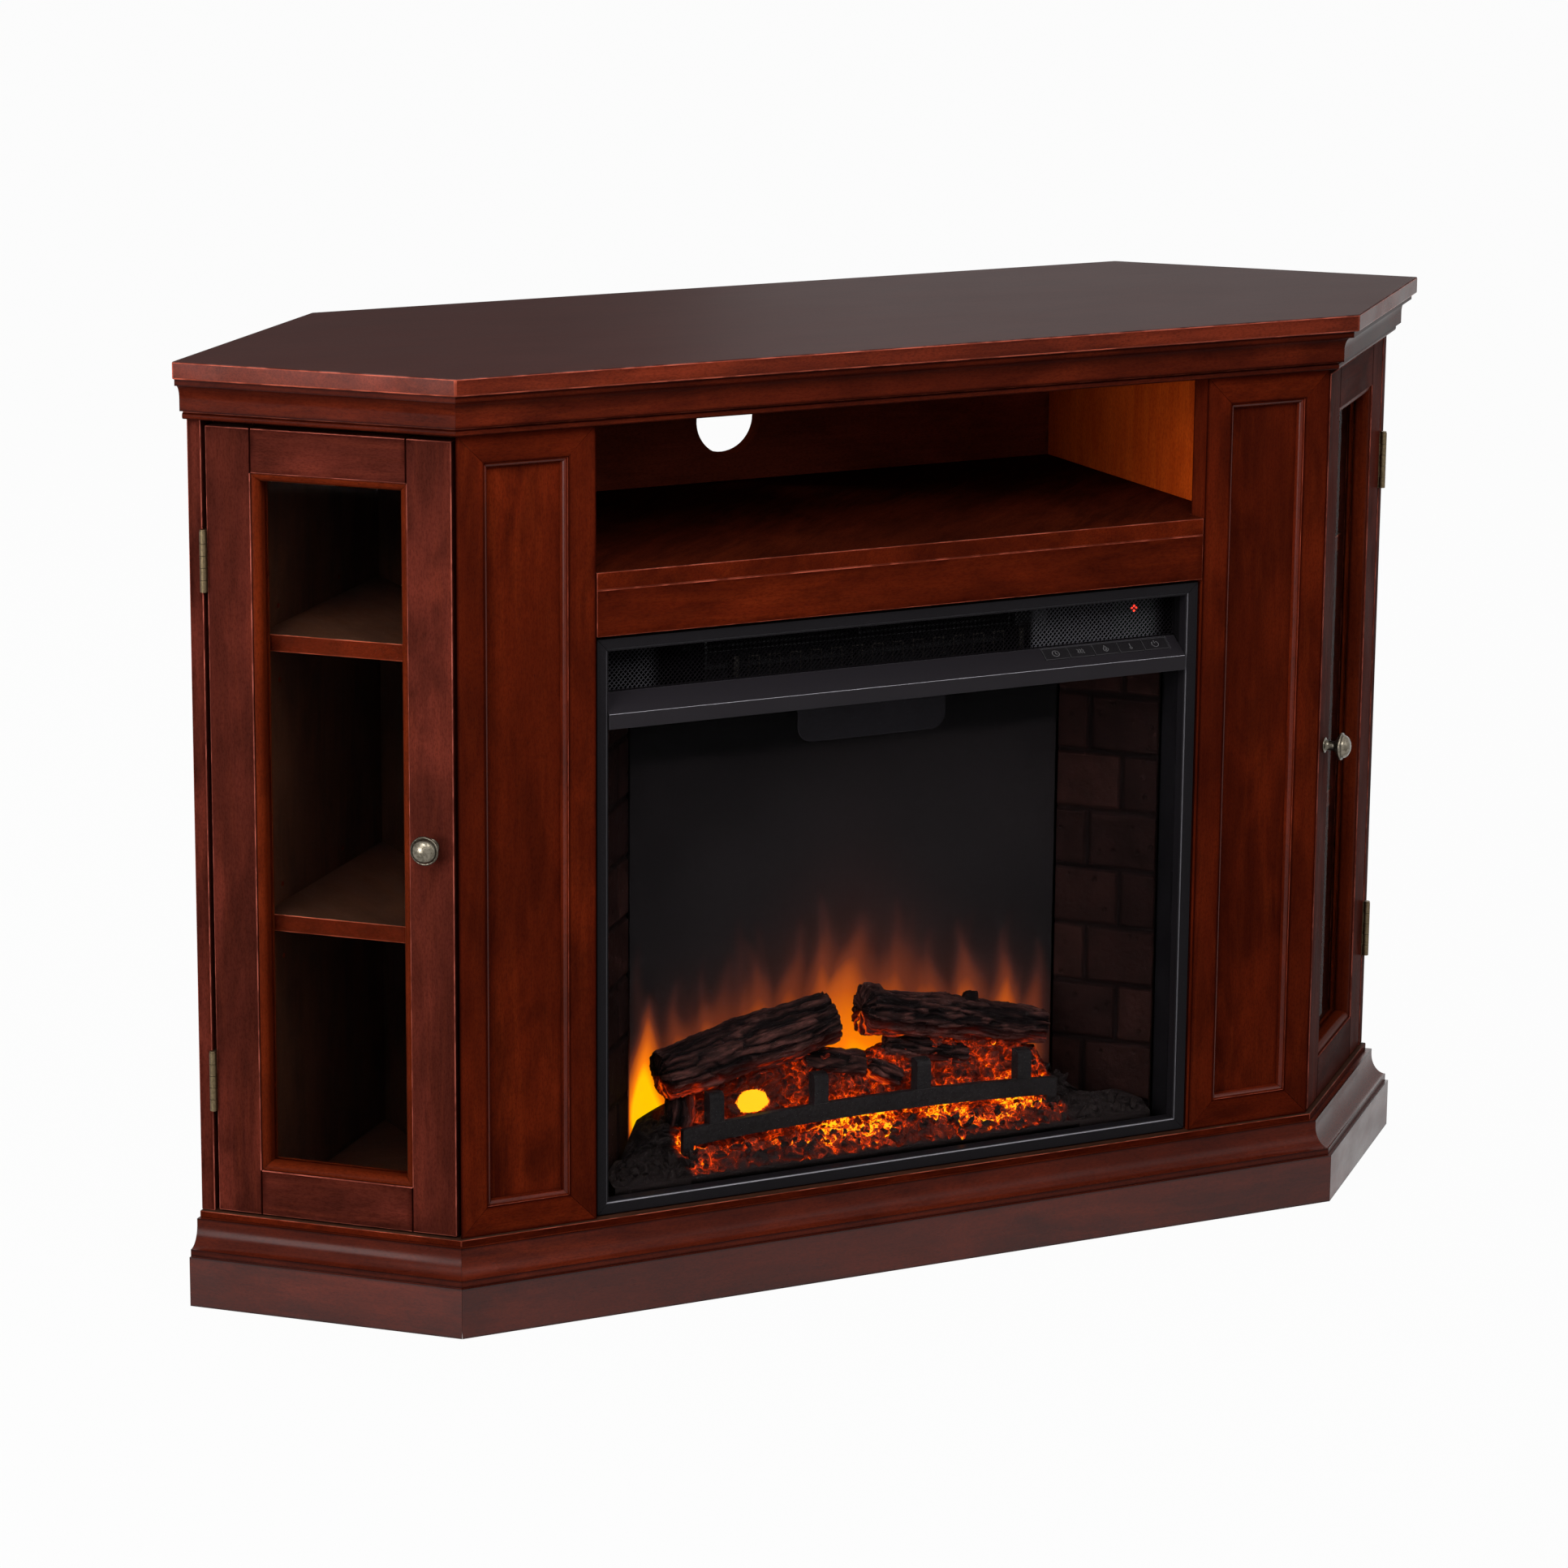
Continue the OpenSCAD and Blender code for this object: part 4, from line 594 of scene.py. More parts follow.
def eased(profile, radius=0.7, shade=2.4):
    """A closed profile with its corners worked: a standing corner is rounded by a point cut from
    it and marked as arris, which the finishes lighten partly as wear and partly as a painted
    highlight, and a hollow one has points beside it over which the groove's darkening, partly
    dark glazing and partly painted shade, fades."""
    p = np.asarray(profile, float)
    p = p[np.linalg.norm(p - np.roll(p, 1, 0), axis=1) > 0.01]
    ahead = np.roll(p, -1, 0)
    if (p[:, 0] * ahead[:, 1] - p[:, 1] * ahead[:, 0]).sum() < 0:
        p = p[::-1]
    rows = []
    for a, b, c in zip(np.roll(p, 1, 0), p, np.roll(p, -1, 0)):
        back, on = a - b, c - b
        long_back, long_on = np.linalg.norm(back), np.linalg.norm(on)
        back, on = back / long_back, on / long_on
        turn = math.atan2(on[1] * back[0] - on[0] * back[1], -back @ on)
        if abs(turn) < 0.35:
            rows.append((*b, 0, 0))
        elif turn > 0:
            r = min(radius, 0.4 * long_back, 0.4 * long_on)
            rows += [(*(b + back * r), 0, 0.5), (*(b + (back + on) * r * 0.29), 0, 1),
                     (*(b + on * r), 0, 0.5)]
        else:
            r = [min(shade, 0.45 * k) for k in (long_back, long_on)]
            rows += [(*(b + back * r[0]), 0, 0), (*(b + back * r[0] * 0.35), 0.55, 0),
                     (*b, 0.95, 0), (*(b + on * r[1] * 0.35), 0.55, 0), (*(b + on * r[1]), 0, 0)]
    rows = np.array(rows)
    return rows[:, :2], rows[:, 2], rows[:, 3]


def sweep(shape, profile, start, end, place, radius=0.7):
    """A closed profile of [a, b] points carried straight along s. start and end give s at each
    profile point, so the ends are cut to mitres, and place turns s, a and b into X, Y and Z."""
    ab, groove, arris = eased(profile, radius)
    a, b = ab.T
    n = len(ab)
    s = np.stack([start(a, b) + 0 * a, end(a, b) + 0 * a])
    a, b = np.stack([a, a]), np.stack([b, b])
    shift = lattice(np.array([[shape.count, j, n] for j in range(3)]), 9) * 5000
    grain = (np.stack([s, a, b], -1) + shift).reshape(-1, 3) * MM
    far = np.ones((2 * n, 3))
    shape.add(np.stack(place(s, a, b), -1), quads(2, n, True), [np.arange(n)],
              [np.arange(n, 2 * n)], grain=grain, place=0 * far, half=far,
              groove=np.tile(groove, 2), arris=np.tile(arris, 2))


def on_facet(side):
    """X, Y and Z of a place t along a front facet from its front corner and d into the body;
    side is 1 at the right and -1 at the left."""
    return lambda t, d, z: (side * (CORNER_X + (t - d) / ROOT2), FACE_Y + (t + d) / ROOT2, z)


def arc(cx, cy, rx, ry, a0, a1, steps=14):
    """Points on an ellipse about cx, cy from angle a0 to a1, in degrees."""
    a = np.radians(np.linspace(a0, a1, steps + 1))
    return list(zip(cx + rx * np.cos(a), cy + ry * np.sin(a)))


def front_runs(name, profile, material, node, radius=0.7):
    """Three mitred lengths of a moulding of [out, height] points, round the front and its
    facets: at a corner the cut stands tan 22.5 degrees along for each millimetre out."""
    shape = Shape()
    sweep(shape, profile, lambda o, z: -CORNER_X - MITRE * o + JOINT / 2,
          lambda o, z: CORNER_X + MITRE * o - JOINT / 2,
          lambda s, o, z: (s, FACE_Y - o, z), radius)
    for side in (1, -1):
        facet = on_facet(side)
        sweep(shape, profile, lambda o, z: JOINT / 2 - MITRE * o, lambda o, z: FACET_L,
              lambda s, o, z, facet=facet: facet(s, -o, z), radius)
    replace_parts(shape.piece(name, "cabinet", "stained_wood", material), node)


def mitred_frame(shape, width, height, profile, place, outer=None, radius=0.7):
    """Four mitred lengths round an opening, from a profile of [depth, across] points, as place
    puts x, depth and z. outer is another profile for the upright at the far side, with its back
    cut off at 45 degrees; the lengths that meet it stop at that cut."""
    def fore(d, c):
        return JOINT + c

    def aft(length, cut=False):
        return lambda d, c: np.minimum(length - JOINT - c, length - d if cut else length)

    cut = outer is not None
    for flip in (False, True):
        sweep(shape, profile, fore, aft(width, cut), lambda s, d, c, flip=flip: place(
            s, d, height - c if flip else c), radius)
    sweep(shape, profile, fore, aft(height), lambda s, d, c: place(c, d, s), radius)
    sweep(shape, outer if cut else profile, fore, aft(height),
          lambda s, d, c: place(width - c, d, s), radius)


front_runs("crown_finished", [(0, HEAD_Z), (6.5, HEAD_Z), *arc(6.5, 770.8, 1.9, 2.8, -90, 90, 8),
                              (6.5, 775.5), (13, 775.5), *arc(20, 786, 7, 12, 180, 90),
                              (22, 798), (22, TOP_Z), (0, TOP_Z)], moulded_wood, "crown_moulding")
front_runs("plinth_finished", [(4, 0), (27, 0), (27, PLINTH_H), (4, PLINTH_H)], plinth_wood,
           "plinth_boards", 1.2)
front_runs("base_cap_finished", [(4, PLINTH_H), (24, PLINTH_H), (24, 50),
                                 *arc(24, 69, 14, 19, 270, 180)[1:], (10, CAP_Z), (4, CAP_Z)],
           cap_wood, "base_cap_moulding")

pilasters = Shape()
PILASTER = [(23, 27), (7, 27), *arc(7, 25.5, -5.5, 4.5, 90, 0), (1.5, 25), (0, 25)]
for side in (1, -1):
    mitred_frame(pilasters, CORNER_X - HALF_OPEN, HEAD_Z - FLOOR_Z, [(0, 0), (23, 0), *PILASTER],
                 lambda x, d, z, side=side: (side * (HALF_OPEN + x), FACE_Y + d, FLOOR_Z + z),
                 outer=[(0, 0), (23, 23), *PILASTER])
pilasters = pilasters.piece("pilaster_frames_finished", "cabinet", "stained_wood", stained_wood)
# The rounded edges are glossier
by_face(pilasters, [edge_wood], lambda n, at: max(abs(c) for c in n) < 0.97
        and abs(n.x) + abs(n.z) > 0.1)
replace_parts(pilasters, "pilaster_frames")

for side, name in ((1, "right"), (-1, "left")):
    beads = Shape()
    facet = on_facet(side)
    for profile in ([(2, 0), (14, 0), (14, 7), *arc(8, 1, -6, 6, 90, 0)],
                    [(17, 0), (20, 0), (20, 7), (17, 7)]):
        mitred_frame(beads, GLASS_W - 2 * JOINT, GLASS_H - 2 * JOINT, profile,
                     lambda x, d, z, facet=facet: facet(STILE_W + JOINT + x, d,
                                                        GLASS_Z + JOINT + z), radius=0.4)
    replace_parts(beads.piece(f"door_{name}_beads_finished", f"door_{name}", "stained_wood",
                            bead_wood_painted_highlight), f"door_{name}_glass_beads")

for node in ("pilaster_panels", "fascia_rail"):
    dressed(node, stained_wood)
dressed("hinge_posts", door_wood_painted_sheen)
for node, flat in (("media_shelf", 0), ("adjustable_shelves", 1), ("floor_panel", 1)):
    by_face(dressed(node, shelf_wood), [inner_wood, stained_wood],
            lambda n, at, flat=flat: flat if abs(n.z) > 0.7 else 2)
# The top's edges take the lighter copy of the stain, a painted highlight.
by_face(dressed("top_panel", top_wood, edge=1.4, segments=3), [slab_wood_painted_highlight],
        lambda n, at: n.z < 0.6)
dressed("frame_rails", inner_wood)
# In the bay, the walls and the back take the brighter copies, which are painted light. The back
# panel's edges and the rim of the cable hole take the dark shelf stain, which is painted shade.
for node, materials, rule in (
        ("side_panels", [stained_wood], lambda n, at: n.x * at.x > 0.2),
        ("bay_back_panel", [back_wood_painted_light, shelf_wood],
         lambda n, at: 1 if n.y < -0.5 else 2 if n.y < 0.5 else 0),
        ("dividers", [bay_wood_painted_light], lambda n, at: n.x * at.x < -0.2)):
    by_face(dressed(node, inner_wood, edge=0, flat=False), materials, rule)
for side, name in ((1, "right"), (-1, "left")):
    framed = dressed(f"door_{name}_frame", door_wood_painted_sheen, flat=False,
                     cuts=(GLASS_Z, GLASS_Z + GLASS_H)).data
    x, y, z = face_middles(framed).T
    along = (side * x - CORNER_X + y - FACE_Y) / ROOT2
    # The joints of stile and rail, above and below the glass, are dark and unworn
    seam = (np.abs(np.abs(along - STILE_W - GLASS_W / 2) - GLASS_W / 2) < 1.6) & (
        np.abs(z - GLASS_Z - GLASS_H / 2) > GLASS_H / 2 + 1)
    scale_arris_faces(framed, ~seam, 0.9 * seam)


# ---- Plain finishes ----

def paint(name, colour, roughness, metallic=0.0, speck=0.15, fine=900, bump=0.00003, gloss=0.12,
          edge=None):
    """A sprayed or cast surface: fine speckle in its colour, gloss and height, and its arrises
    lightened to the edge colour, a painted highlight."""
    f = Finish(name)
    speckle = f.noise(f.place(), fine, 3, 0.6)
    cloud = f.noise(f.place(), 12, 4, 0.6)
    tone = f.mix(f.math("MULTIPLY", f.span(speckle, 0.35, 0.65), speck), colour,
                 tuple(min(1.0, 2.2 * c + 0.01) for c in colour))
    tone = f.mix(f.span(cloud, 0.35, 0.7, 0.0, 0.35), tone, tuple(0.6 * c for c in colour))
    # The edge colour on the arrises is a painted highlight.
    if edge:
        tone = f.mix(f.math("MULTIPLY", f.attribute("arris"), f.span(cloud, 0.3, 0.6, 0.75, 1.0)),
                     tone, edge)
    f.surface(tone, f.span(cloud, 0.3, 0.7, roughness - 0.05, roughness + 0.08),
              f.bump(speckle, bump, 0.6), Metallic=metallic, Specular_IOR_Level=gloss)
    return f.material


def clear_glass(name, tint, bend, haze=0.015):
    """Faintly smeared glass that lets lamps through: a transparent shader for shadow rays."""
    f = Finish(name)
    smear = f.noise(f.place(), 9, 4, 0.6)
    glass = f.surface(tint, f.span(smear, 0.4, 0.8, 0.0, haze), Transmission_Weight=1.0, IOR=bend)
    clear = f.node("BsdfTransparent", {"Color": (*tint, 1)}).outputs[0]
    shadow = f.node("LightPath").outputs["Is Shadow Ray"]
    f.show(f.node("MixShader", {0: shadow, 1: glass, 2: clear}).outputs[0])
    return f.material


def glowing(f, colour, heat, strength, roughness, normal=None, **more):
    """A surface that also gives off light: heat from 0 to 1 runs from black through deep red and
    orange to yellow."""
    glow = f.ramp(heat, (0.0, (0, 0, 0)), (0.28, (0.05, 0.002, 0.0)),
                  (0.52, (0.34, 0.016, 0.0005)), (0.72, (0.85, 0.062, 0.001)),
                  (0.88, (1.0, 0.22, 0.002)), (1.0, (1.0, 0.52, 0.008)))
    return f.surface(colour, roughness, normal, Emission_Color=glow, Emission_Strength=strength,
                     **more)


def keep(material, *nodes):
    """CAD nodes as they are, with a material of their own."""
    for node in nodes:
        target = frame["nodes"][node].data
        target.materials.clear()
        target.materials.append(material)


# The edge colours of these finishes are painted highlights on their arrises.
satin_black = paint("satin_black", (0.007, 0.006, 0.0072), 0.34, gloss=0.05,
                    edge=(0.3, 0.29, 0.32))
dull_black = paint("dull_black", (0.003, 0.0026, 0.003), 0.6, gloss=0.01)
baffle_black = paint("baffle_black", (0.0062, 0.0054, 0.0064), 0.4, gloss=0.02,
                     edge=(0.014, 0.0125, 0.014))
ledge_plastic = paint("ledge_plastic", (0.0105, 0.0088, 0.0108), 0.4, fine=1500, gloss=0.1,
                      edge=(0.34, 0.33, 0.36))
button_plastic = paint("button_plastic", (0.0085, 0.0075, 0.0085), 0.35, gloss=0.12,
                       edge=(0.03, 0.028, 0.03))
catch_plastic = paint("catch_plastic", (0.035, 0.02, 0.013), 0.45)
gland_rubber = paint("gland_rubber", (0.006, 0.006, 0.006), 0.7)
hardboard = paint("hardboard", (0.075, 0.042, 0.023), 0.7, speck=0.5, fine=500)
steel = paint("steel", (0.55, 0.54, 0.52), 0.35, 1.0)
brass = paint("antique_brass", (0.105, 0.076, 0.042), 0.42, 1.0, speck=0.4, fine=500)
galvanised = paint("galvanised", (0.06, 0.06, 0.062), 0.6, 1.0, speck=0.5, fine=120)
heater_wire = paint("heater_wire", (0.06, 0.052, 0.045), 0.6, 1.0)
cast_iron = paint("cast_iron", (0.004, 0.0031, 0.0032), 0.5, speck=0.5, fine=420, bump=0.0002,
                  gloss=0.06)
foil = paint("foil", (0.75, 0.75, 0.76), 0.2, 1.0)
board_green = paint("board_green", (0.002, 0.006, 0.003), 0.6, gloss=0.03)
door_glass = clear_glass("door_glass", (0.8, 0.82, 0.8), 1.025)
firebox_glass = clear_glass("firebox_glass", (0.92, 0.92, 0.93), 1.02)


def pewter_finish():
    """Antique pewter: bright where it is handled and dark in its hollows."""
    f = Finish("pewter")
    cloud = f.noise(f.place(), 330, 4, 0.68)
    dark = f.math("MULTIPLY", f.attribute("groove"), f.span(cloud, 0.2, 0.7, 0.7, 1.0))
    tone = f.mix(f.span(cloud, 0.35, 0.7), (0.21, 0.185, 0.145), (0.075, 0.064, 0.046))
    f.surface(f.mix(dark, tone, (0.02, 0.016, 0.012)), f.span(cloud, 0.3, 0.7, 0.22, 0.38),
              f.bump(f.noise(f.place(), 900, 2), 0.00004, 0.5), Metallic=1.0)
    return f.material


pewter = pewter_finish()
dressed("lamp_baffle", baffle_black, edge=0.4)
trim = Shape()
TRIM_PROFILE = [(0, 0), (TRIM_T, 0), (TRIM_T, TRIM_W), (2, TRIM_W), (2, 9), (0.5, 8.5)]
mitred_frame(trim, 2 * TRIM_HALF, TRIM_H, TRIM_PROFILE,
             lambda x, d, z: (x - TRIM_HALF, TRIM_Y + d, TRIM_Z + z), radius=1.2)
across = np.tile(eased(TRIM_PROFILE, 1.2)[0][:, 1], 2)
# How strong the painted highlight on the outer and the inner arris is, of the bottom, top,
# left and right lengths
ARRIS_HIGHLIGHT = ((0.25, 1.0), (1.0, 0.15), (0.4, 0.3), (0.4, 0.3))
for part, (outer, inner) in zip(trim.values["arris"], ARRIS_HIGHLIGHT):
    part[:, 0] *= np.where(across < 4, outer, inner)
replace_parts(trim.piece("trim_finished", "cabinet", "black_metal", satin_black),
            "insert_trim_frame")
ledge = dressed("control_ledge", ledge_plastic, edge=0.7, flat=False).data
# Only the ledge's front arris keeps the full painted highlight
scale_arris_faces(ledge, np.where(np.abs(face_middles(ledge)[:, 2] - LEDGE_Z) < 2, 1.0, 0.08))
dressed("grate", cast_iron, edge=1.2, flat=False)
keep(dull_black, "insert_housing")
keep(gland_rubber, "cord_gland")
keep(hardboard, "insert_back_cover")
keep(catch_plastic, "magnetic_catches")
keep(heater_wire, "heating_element")
keep(board_green, "control_board")
keep(steel, "shelf_pins", "back_cover_screws", "door_left_strike_plate",
     "door_right_strike_plate", "ember_lamp_strip")
keep(brass, "hinge_post_leaves", "hinge_pins", "door_left_hinge_leaves",
     "door_right_hinge_leaves")
keep(galvanised, "spindle_motor", "blower_wheel", "blower_motor", "blower_housing")
keep(foil, "flame_spindle")
keep(door_glass, "door_left_glass", "door_right_glass")
keep(firebox_glass, "front_glass")


# ---- Knobs ----

def knob(side, name):
    """A turned knob, its profile of [radius, out] carried round its screw: foot ring, hollow
    neck and domed head, with the domed screw head at the door's back."""
    shape = Shape()
    facet = on_facet(side)
    front = np.array([(0, 0.02), (6.9, 0.02), (7.1, 0.7), (6.9, 1.4), (6.2, 1.7),
                      *arc(6.2, 5.5, 1.8, 3.8, 270, 180, 8)[1:], (4.4, 9.5), (4.9, 10.6),
                      (7.5, 12.3), (10.6, 14.4), *arc(11.4, 16, 1.1, 1.5, -55, 90, 8),
                      (10.9, 17.3), *arc(0, 17.4, 10.6, 7.4, 4, 88, 20), (0, 25)])
    screw = np.array([(0, -22.5), (3, -22.4), (4.3, -21.7), (4.5, -20.9), (4.5, -20.02),
                      (0, -20.02)])
    sides = 64
    a = np.linspace(0, 2 * np.pi, sides, endpoint=False)
    for profile in (front, screw):
        r, out = profile[:, :1], profile[:, 1:]
        ring = np.stack(facet(KNOB_T + r * np.cos(a), -out + 0 * a, KNOB_Z + r * np.sin(a)), -1)
        hollow = np.clip(np.interp(profile[:, 1], [1, 2.5, 8, 12.5, 16.9, 17.3, 17.8, 19],
                                   [0, 0.5, 0.7, 0, 0, 0.9, 0.5, 0]), 0, 1)
        shape.add(ring, quads(len(profile), sides, True), groove=np.repeat(hollow, sides))
    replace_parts(shape.piece(f"knob_{name}_finished", f"door_{name}", "pewter", pewter),
                f"door_{name}_knob")


knob(1, "right")
knob(-1, "left")


# ---- Vent grille, buttons and indicator ----

def grille(material):
    """Expanded metal: strands that run up and down by turns, each in step against the next, so
    that they meet in a net of small diamonds, inside a plain rim. The value sheen marks where
    grey is painted on the strands as a painted highlight, at the right end and a little at the
    left."""
    half, foot, head = GRILLE_HALF, GRILLE_LOW, GRILLE_HIGH
    shape = Shape()
    pitch, rows, thick, border = 4.2, 20, 0.52, 1.2
    rise = (head - foot) / rows
    x = np.arange(-half, half + 0.01, pitch / 2)
    # How strongly each part of the strands carries the painted highlight.
    lit = 0.62 * (smooth(x, 134, 140) - smooth(x, 250, 272)) + 0.3 * smooth(-x, 222, 240)
    k = np.arange(len(x))
    for row in range(rows):
        z = foot + (row + 0.5) * rise + np.where((k + row) % 2, 0.46, -0.46) * rise
        ring = [np.stack([x, 0 * x + y, z + dz], -1) for y, dz in
                ((GRILLE_FRONT, -thick), (GRILLE_FRONT + 0.2, thick), (GRILLE_BACK, thick),
                 (GRILLE_BACK - 0.2, -thick))]
        shape.add(np.stack(ring, 1), quads(len(x), 4, True), sheen=np.repeat(lit, 4))
    for left, right, low, high in ((-half, half, foot, foot + border),
                                   (-half, half, head - border, head),
                                   (-half, 1.5 - half, foot, head),
                                   (half - 1.5, half, foot, head)):
        block(shape, (left, GRILLE_FRONT, low), (right, GRILLE_BACK, high), sheen=np.zeros(8))
    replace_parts(shape.piece("grille_mesh", "cabinet", "black_metal", material, angle=30),
                "vent_grille")


def block(shape, low, high, **values):
    """A box between two corners."""
    corner = np.array(list(np.ndindex(2, 2, 2)))
    points = np.where(corner, high, low)
    shape.add(points, [[0, 1, 3, 2], [4, 6, 7, 5], [0, 4, 5, 1], [2, 3, 7, 6], [0, 2, 6, 4],
                       [1, 5, 7, 3]], **values)


def grille_finish():
    """Thin black paint on expanded metal, with grey painted on the strands where the value sheen
    asks, a painted highlight.
    """
    f = Finish("grille_black")
    speckle = f.noise(f.place(), 1200, 2, 0.6)
    tone = f.mix(f.span(speckle, 0.3, 0.7), (0.0035, 0.003, 0.0034), (0.006, 0.005, 0.0058))
    # Grey on the marked strands is a painted highlight.
    tone = f.mix(f.attribute("sheen"), tone, (0.08, 0.077, 0.087))
    f.surface(tone, f.span(speckle, 0.3, 0.7, 0.4, 0.55), f.bump(speckle, 0.00003, 0.5),
              Specular_IOR_Level=0.0)
    return f.material


grille(grille_finish())

# Strokes of the sign on each button: a timer, warmth, a flame, a thermometer, a power sign
MARKS = {
    1: [arc(0, 0, 3.3, 3.3, 0, 360, 24), [(0, 2.1), (0, 0), (1.5, -1)]],
    2: [[(x + 0.7 * math.sin(2.1 * y), y) for y in np.linspace(-2.6, 2.6, 12)]
        for x in (-2.4, 0, 2.4)],
    3: [[(0, -3.3), (-2.3, -1.9), (-2.4, 0.2), (-1.1, 1.5), (-0.5, 3.5), (0.9, 1.9), (1.2, 0.4),
         (2.3, 0.3), (2.3, -1.8), (0, -3.3)],
        [(0, -2.1), (-0.7, -1), (0.1, 0.3), (0.8, -1), (0, -2.1)]],
    4: [[(0, -0.9), (0, 3.2)], arc(0, -2, 1.1, 1.1, 90, 450, 14)],
    5: [arc(0, -0.3, 3.2, 3.2, 122, 418, 24), [(0, 0.4), (0, 3.9)]],
}


def on_slope(x, up, out):
    """A place on the ledge's sloping face: x across, up it from its foot, and out of it."""
    cos, sin = math.cos(LEDGE_SLOPE), math.sin(LEDGE_SLOPE)
    return x, TRIM_Y + up * cos - out * sin, LEDGE_Z + up * sin + out * cos


def mark(k):
    """The sign on a button: each stroke is a ribbon 0.5 mm wide, set along its own points."""
    shape = Shape()
    middle = BUTTON_X - (5 - k) * BUTTON_PITCH
    for stroke in MARKS[k]:
        p = np.array(stroke, float)
        way = np.gradient(p, axis=0)
        way /= np.linalg.norm(way, axis=1, keepdims=True)
        side = way[:, ::-1] * [-0.26, 0.26]
        ring = [np.stack(on_slope(middle + q[:, 0], BUTTON_FOOT + BUTTON_D / 2 + q[:, 1],
                                  out + 0 * q[:, 0]), -1)
                for q, out in ((p + side, 0.06), (p - side, 0.06), (p - side, -0.1),
                               (p + side, -0.1))]
        n = len(p)
        shape.add(np.stack(ring, 1), quads(n, 4, True), [np.arange(4)],
                  [np.arange(4) + 4 * (n - 1)])
    shape.piece(f"button_{k}_mark", f"button_{k}", "black_plastic", mark_grey)


mark_grey = paint("mark_grey", (0.105, 0.103, 0.105), 0.5)
for k in range(1, 6):
    dressed(f"button_{k}", button_plastic, edge=0.5)
    mark(k)


def indicator():
    """Four small domes that glow red behind the grille."""
    f = Finish("red_lamp")
    spark = f.ramp(f.noise(f.place(), 300), (0.3, (1, 0.012, 0.006)), (0.7, (1, 0.05, 0.02)))
    f.surface((0.3, 0.01, 0.005), 0.3, Emission_Color=spark, Emission_Strength=2.0)
    shape = Shape()
    rings, sides, radius = 5, 16, 1.35
    u, v = np.meshgrid(np.linspace(0, np.pi / 2, rings),
                       np.linspace(0, 2 * np.pi, sides, endpoint=False), indexing="ij")
    x, y, z = LAMP_AT
    for dx, dz in ((-2.3, 1.2), (0.2, 2.3), (2.4, 1.0), (0.2, -1.6)):
        shape.add(np.stack([x + dx + radius * np.sin(u) * np.cos(v), y - 0.9 * np.cos(u),
                            z + dz + radius * np.sin(u) * np.sin(v)], -1),
                  quads(rings, sides, True), [(rings - 1) * sides + np.arange(sides)])
    shape.piece("indicator_dots", "cabinet", "lamp", f.material)


indicator()


# ---- Firebox ----

def brick_faces():
    """Two panels of brick relief: on a grid along and up each panel, the faces stand 1.6 mm out
    of the mortar with worn edges, waves, pits and chipped corners; the rim is turned back 6 mm."""
    shape = Shape()
    u = np.linspace(0, BRICK_L, 84)
    z = np.linspace(0, FIRE_TOP - BOX_FLOOR, 330)
    u, z = np.meshgrid(u, z, indexing="ij")
    row = np.floor((z - COURSE_FOOT) / COURSE_H)
    up = (z - COURSE_FOOT) - row * COURSE_H
    split = np.where(row.astype(int) % 2 == 0, 0.68, 0.36) * BRICK_L
    for side, seed in ((1, 3), (-1, 40)):
        place = np.stack([u, z, 0 * u + seed * 100.0], -1)
        wander = 1.6 * (layered(place, 14, 3, seed) - 0.5)
        edge = np.minimum(np.minimum(up - MORTAR_W, COURSE_H - up),
                          np.abs(u - split) - MORTAR_W / 2) + wander
        face = smooth(edge, -0.4, 1.4)
        rough = layered(place, 9, 4, seed + 5)
        pit, _, own, _ = lumps(place, 8.5, seed + 9)
        holes = smooth(0.3 - pit, 0, 0.16) * (own > 0.72) * smooth(edge, 2, 4)
        out = -1.9 + 1.75 * face + 0.9 * (rough - 0.5) * face - 1.1 * holes
        out += 0.5 * (layered(place, 2.2, 2, seed + 7) - 0.5)
        shade = np.clip(0.25 + 0.75 * face, 0, 1) * (0.7 + 0.6 * (lattice(np.stack(
            [row, (u > split) * 1.0, 0 * u], -1), seed) - 0.5)) * (1 - 0.6 * holes)
        out = np.where(rim_of(u), -6.0, np.minimum(out, 0.0))
        x = side * (BRICK_X + u * math.cos(BRICK_TURN) - out * math.sin(BRICK_TURN))
        y = BRICK_Y + u * math.sin(BRICK_TURN) + out * math.cos(BRICK_TURN)
        points = np.stack([x, y, BOX_FLOOR + z + 0.1 * (out > -6)], -1)
        shape.add(points, quads(*u.shape), rim_face(u), relief=shade)
    f = Finish("brick")
    cloud = f.noise(f.place(), 60, 4, 0.65)
    grit = f.noise(f.place(), 700, 3, 0.7)
    tone = f.mix(f.span(cloud, 0.3, 0.7), (0.0055, 0.0022, 0.0018), (0.0125, 0.0048, 0.004))
    tone = f.mix(f.span(grit, 0.45, 0.75, 0.0, 0.5), tone, (0.016, 0.009, 0.007))
    tone = f.mix(f.attribute("relief"), (0.002, 0.0015, 0.0015), tone)
    f.surface(tone, f.span(cloud, 0.3, 0.7, 0.6, 0.85), f.bump(grit, 0.0004, 0.7),
              Specular_IOR_Level=0.005)
    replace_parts(shape.piece("brick_faces", "cabinet", "brick", f.material, angle=180),
                "brick_panels")


def flame_tongue(x, z, foot, tip, middle, width, lean, power):
    """One flame: narrows from its foot to its tip, leans and sways, and fades upwards."""
    t = np.clip((z - foot) / (tip - foot), 0, 1)
    centre = middle + lean * t ** 1.6 + 0.22 * width * np.sin(6.3 * t + middle)
    reach = 1.25 * width * (1 - t) ** 0.45 * (0.6 + 0.5 * np.sin(np.pi * np.minimum(1, t + 0.22)))
    q = np.abs(x - centre) / np.maximum(reach, 3.0)
    return power * np.exp(-1.4 * q ** 1.9) * (1 - t) ** 0.85 * smooth(z, foot - 25, foot)


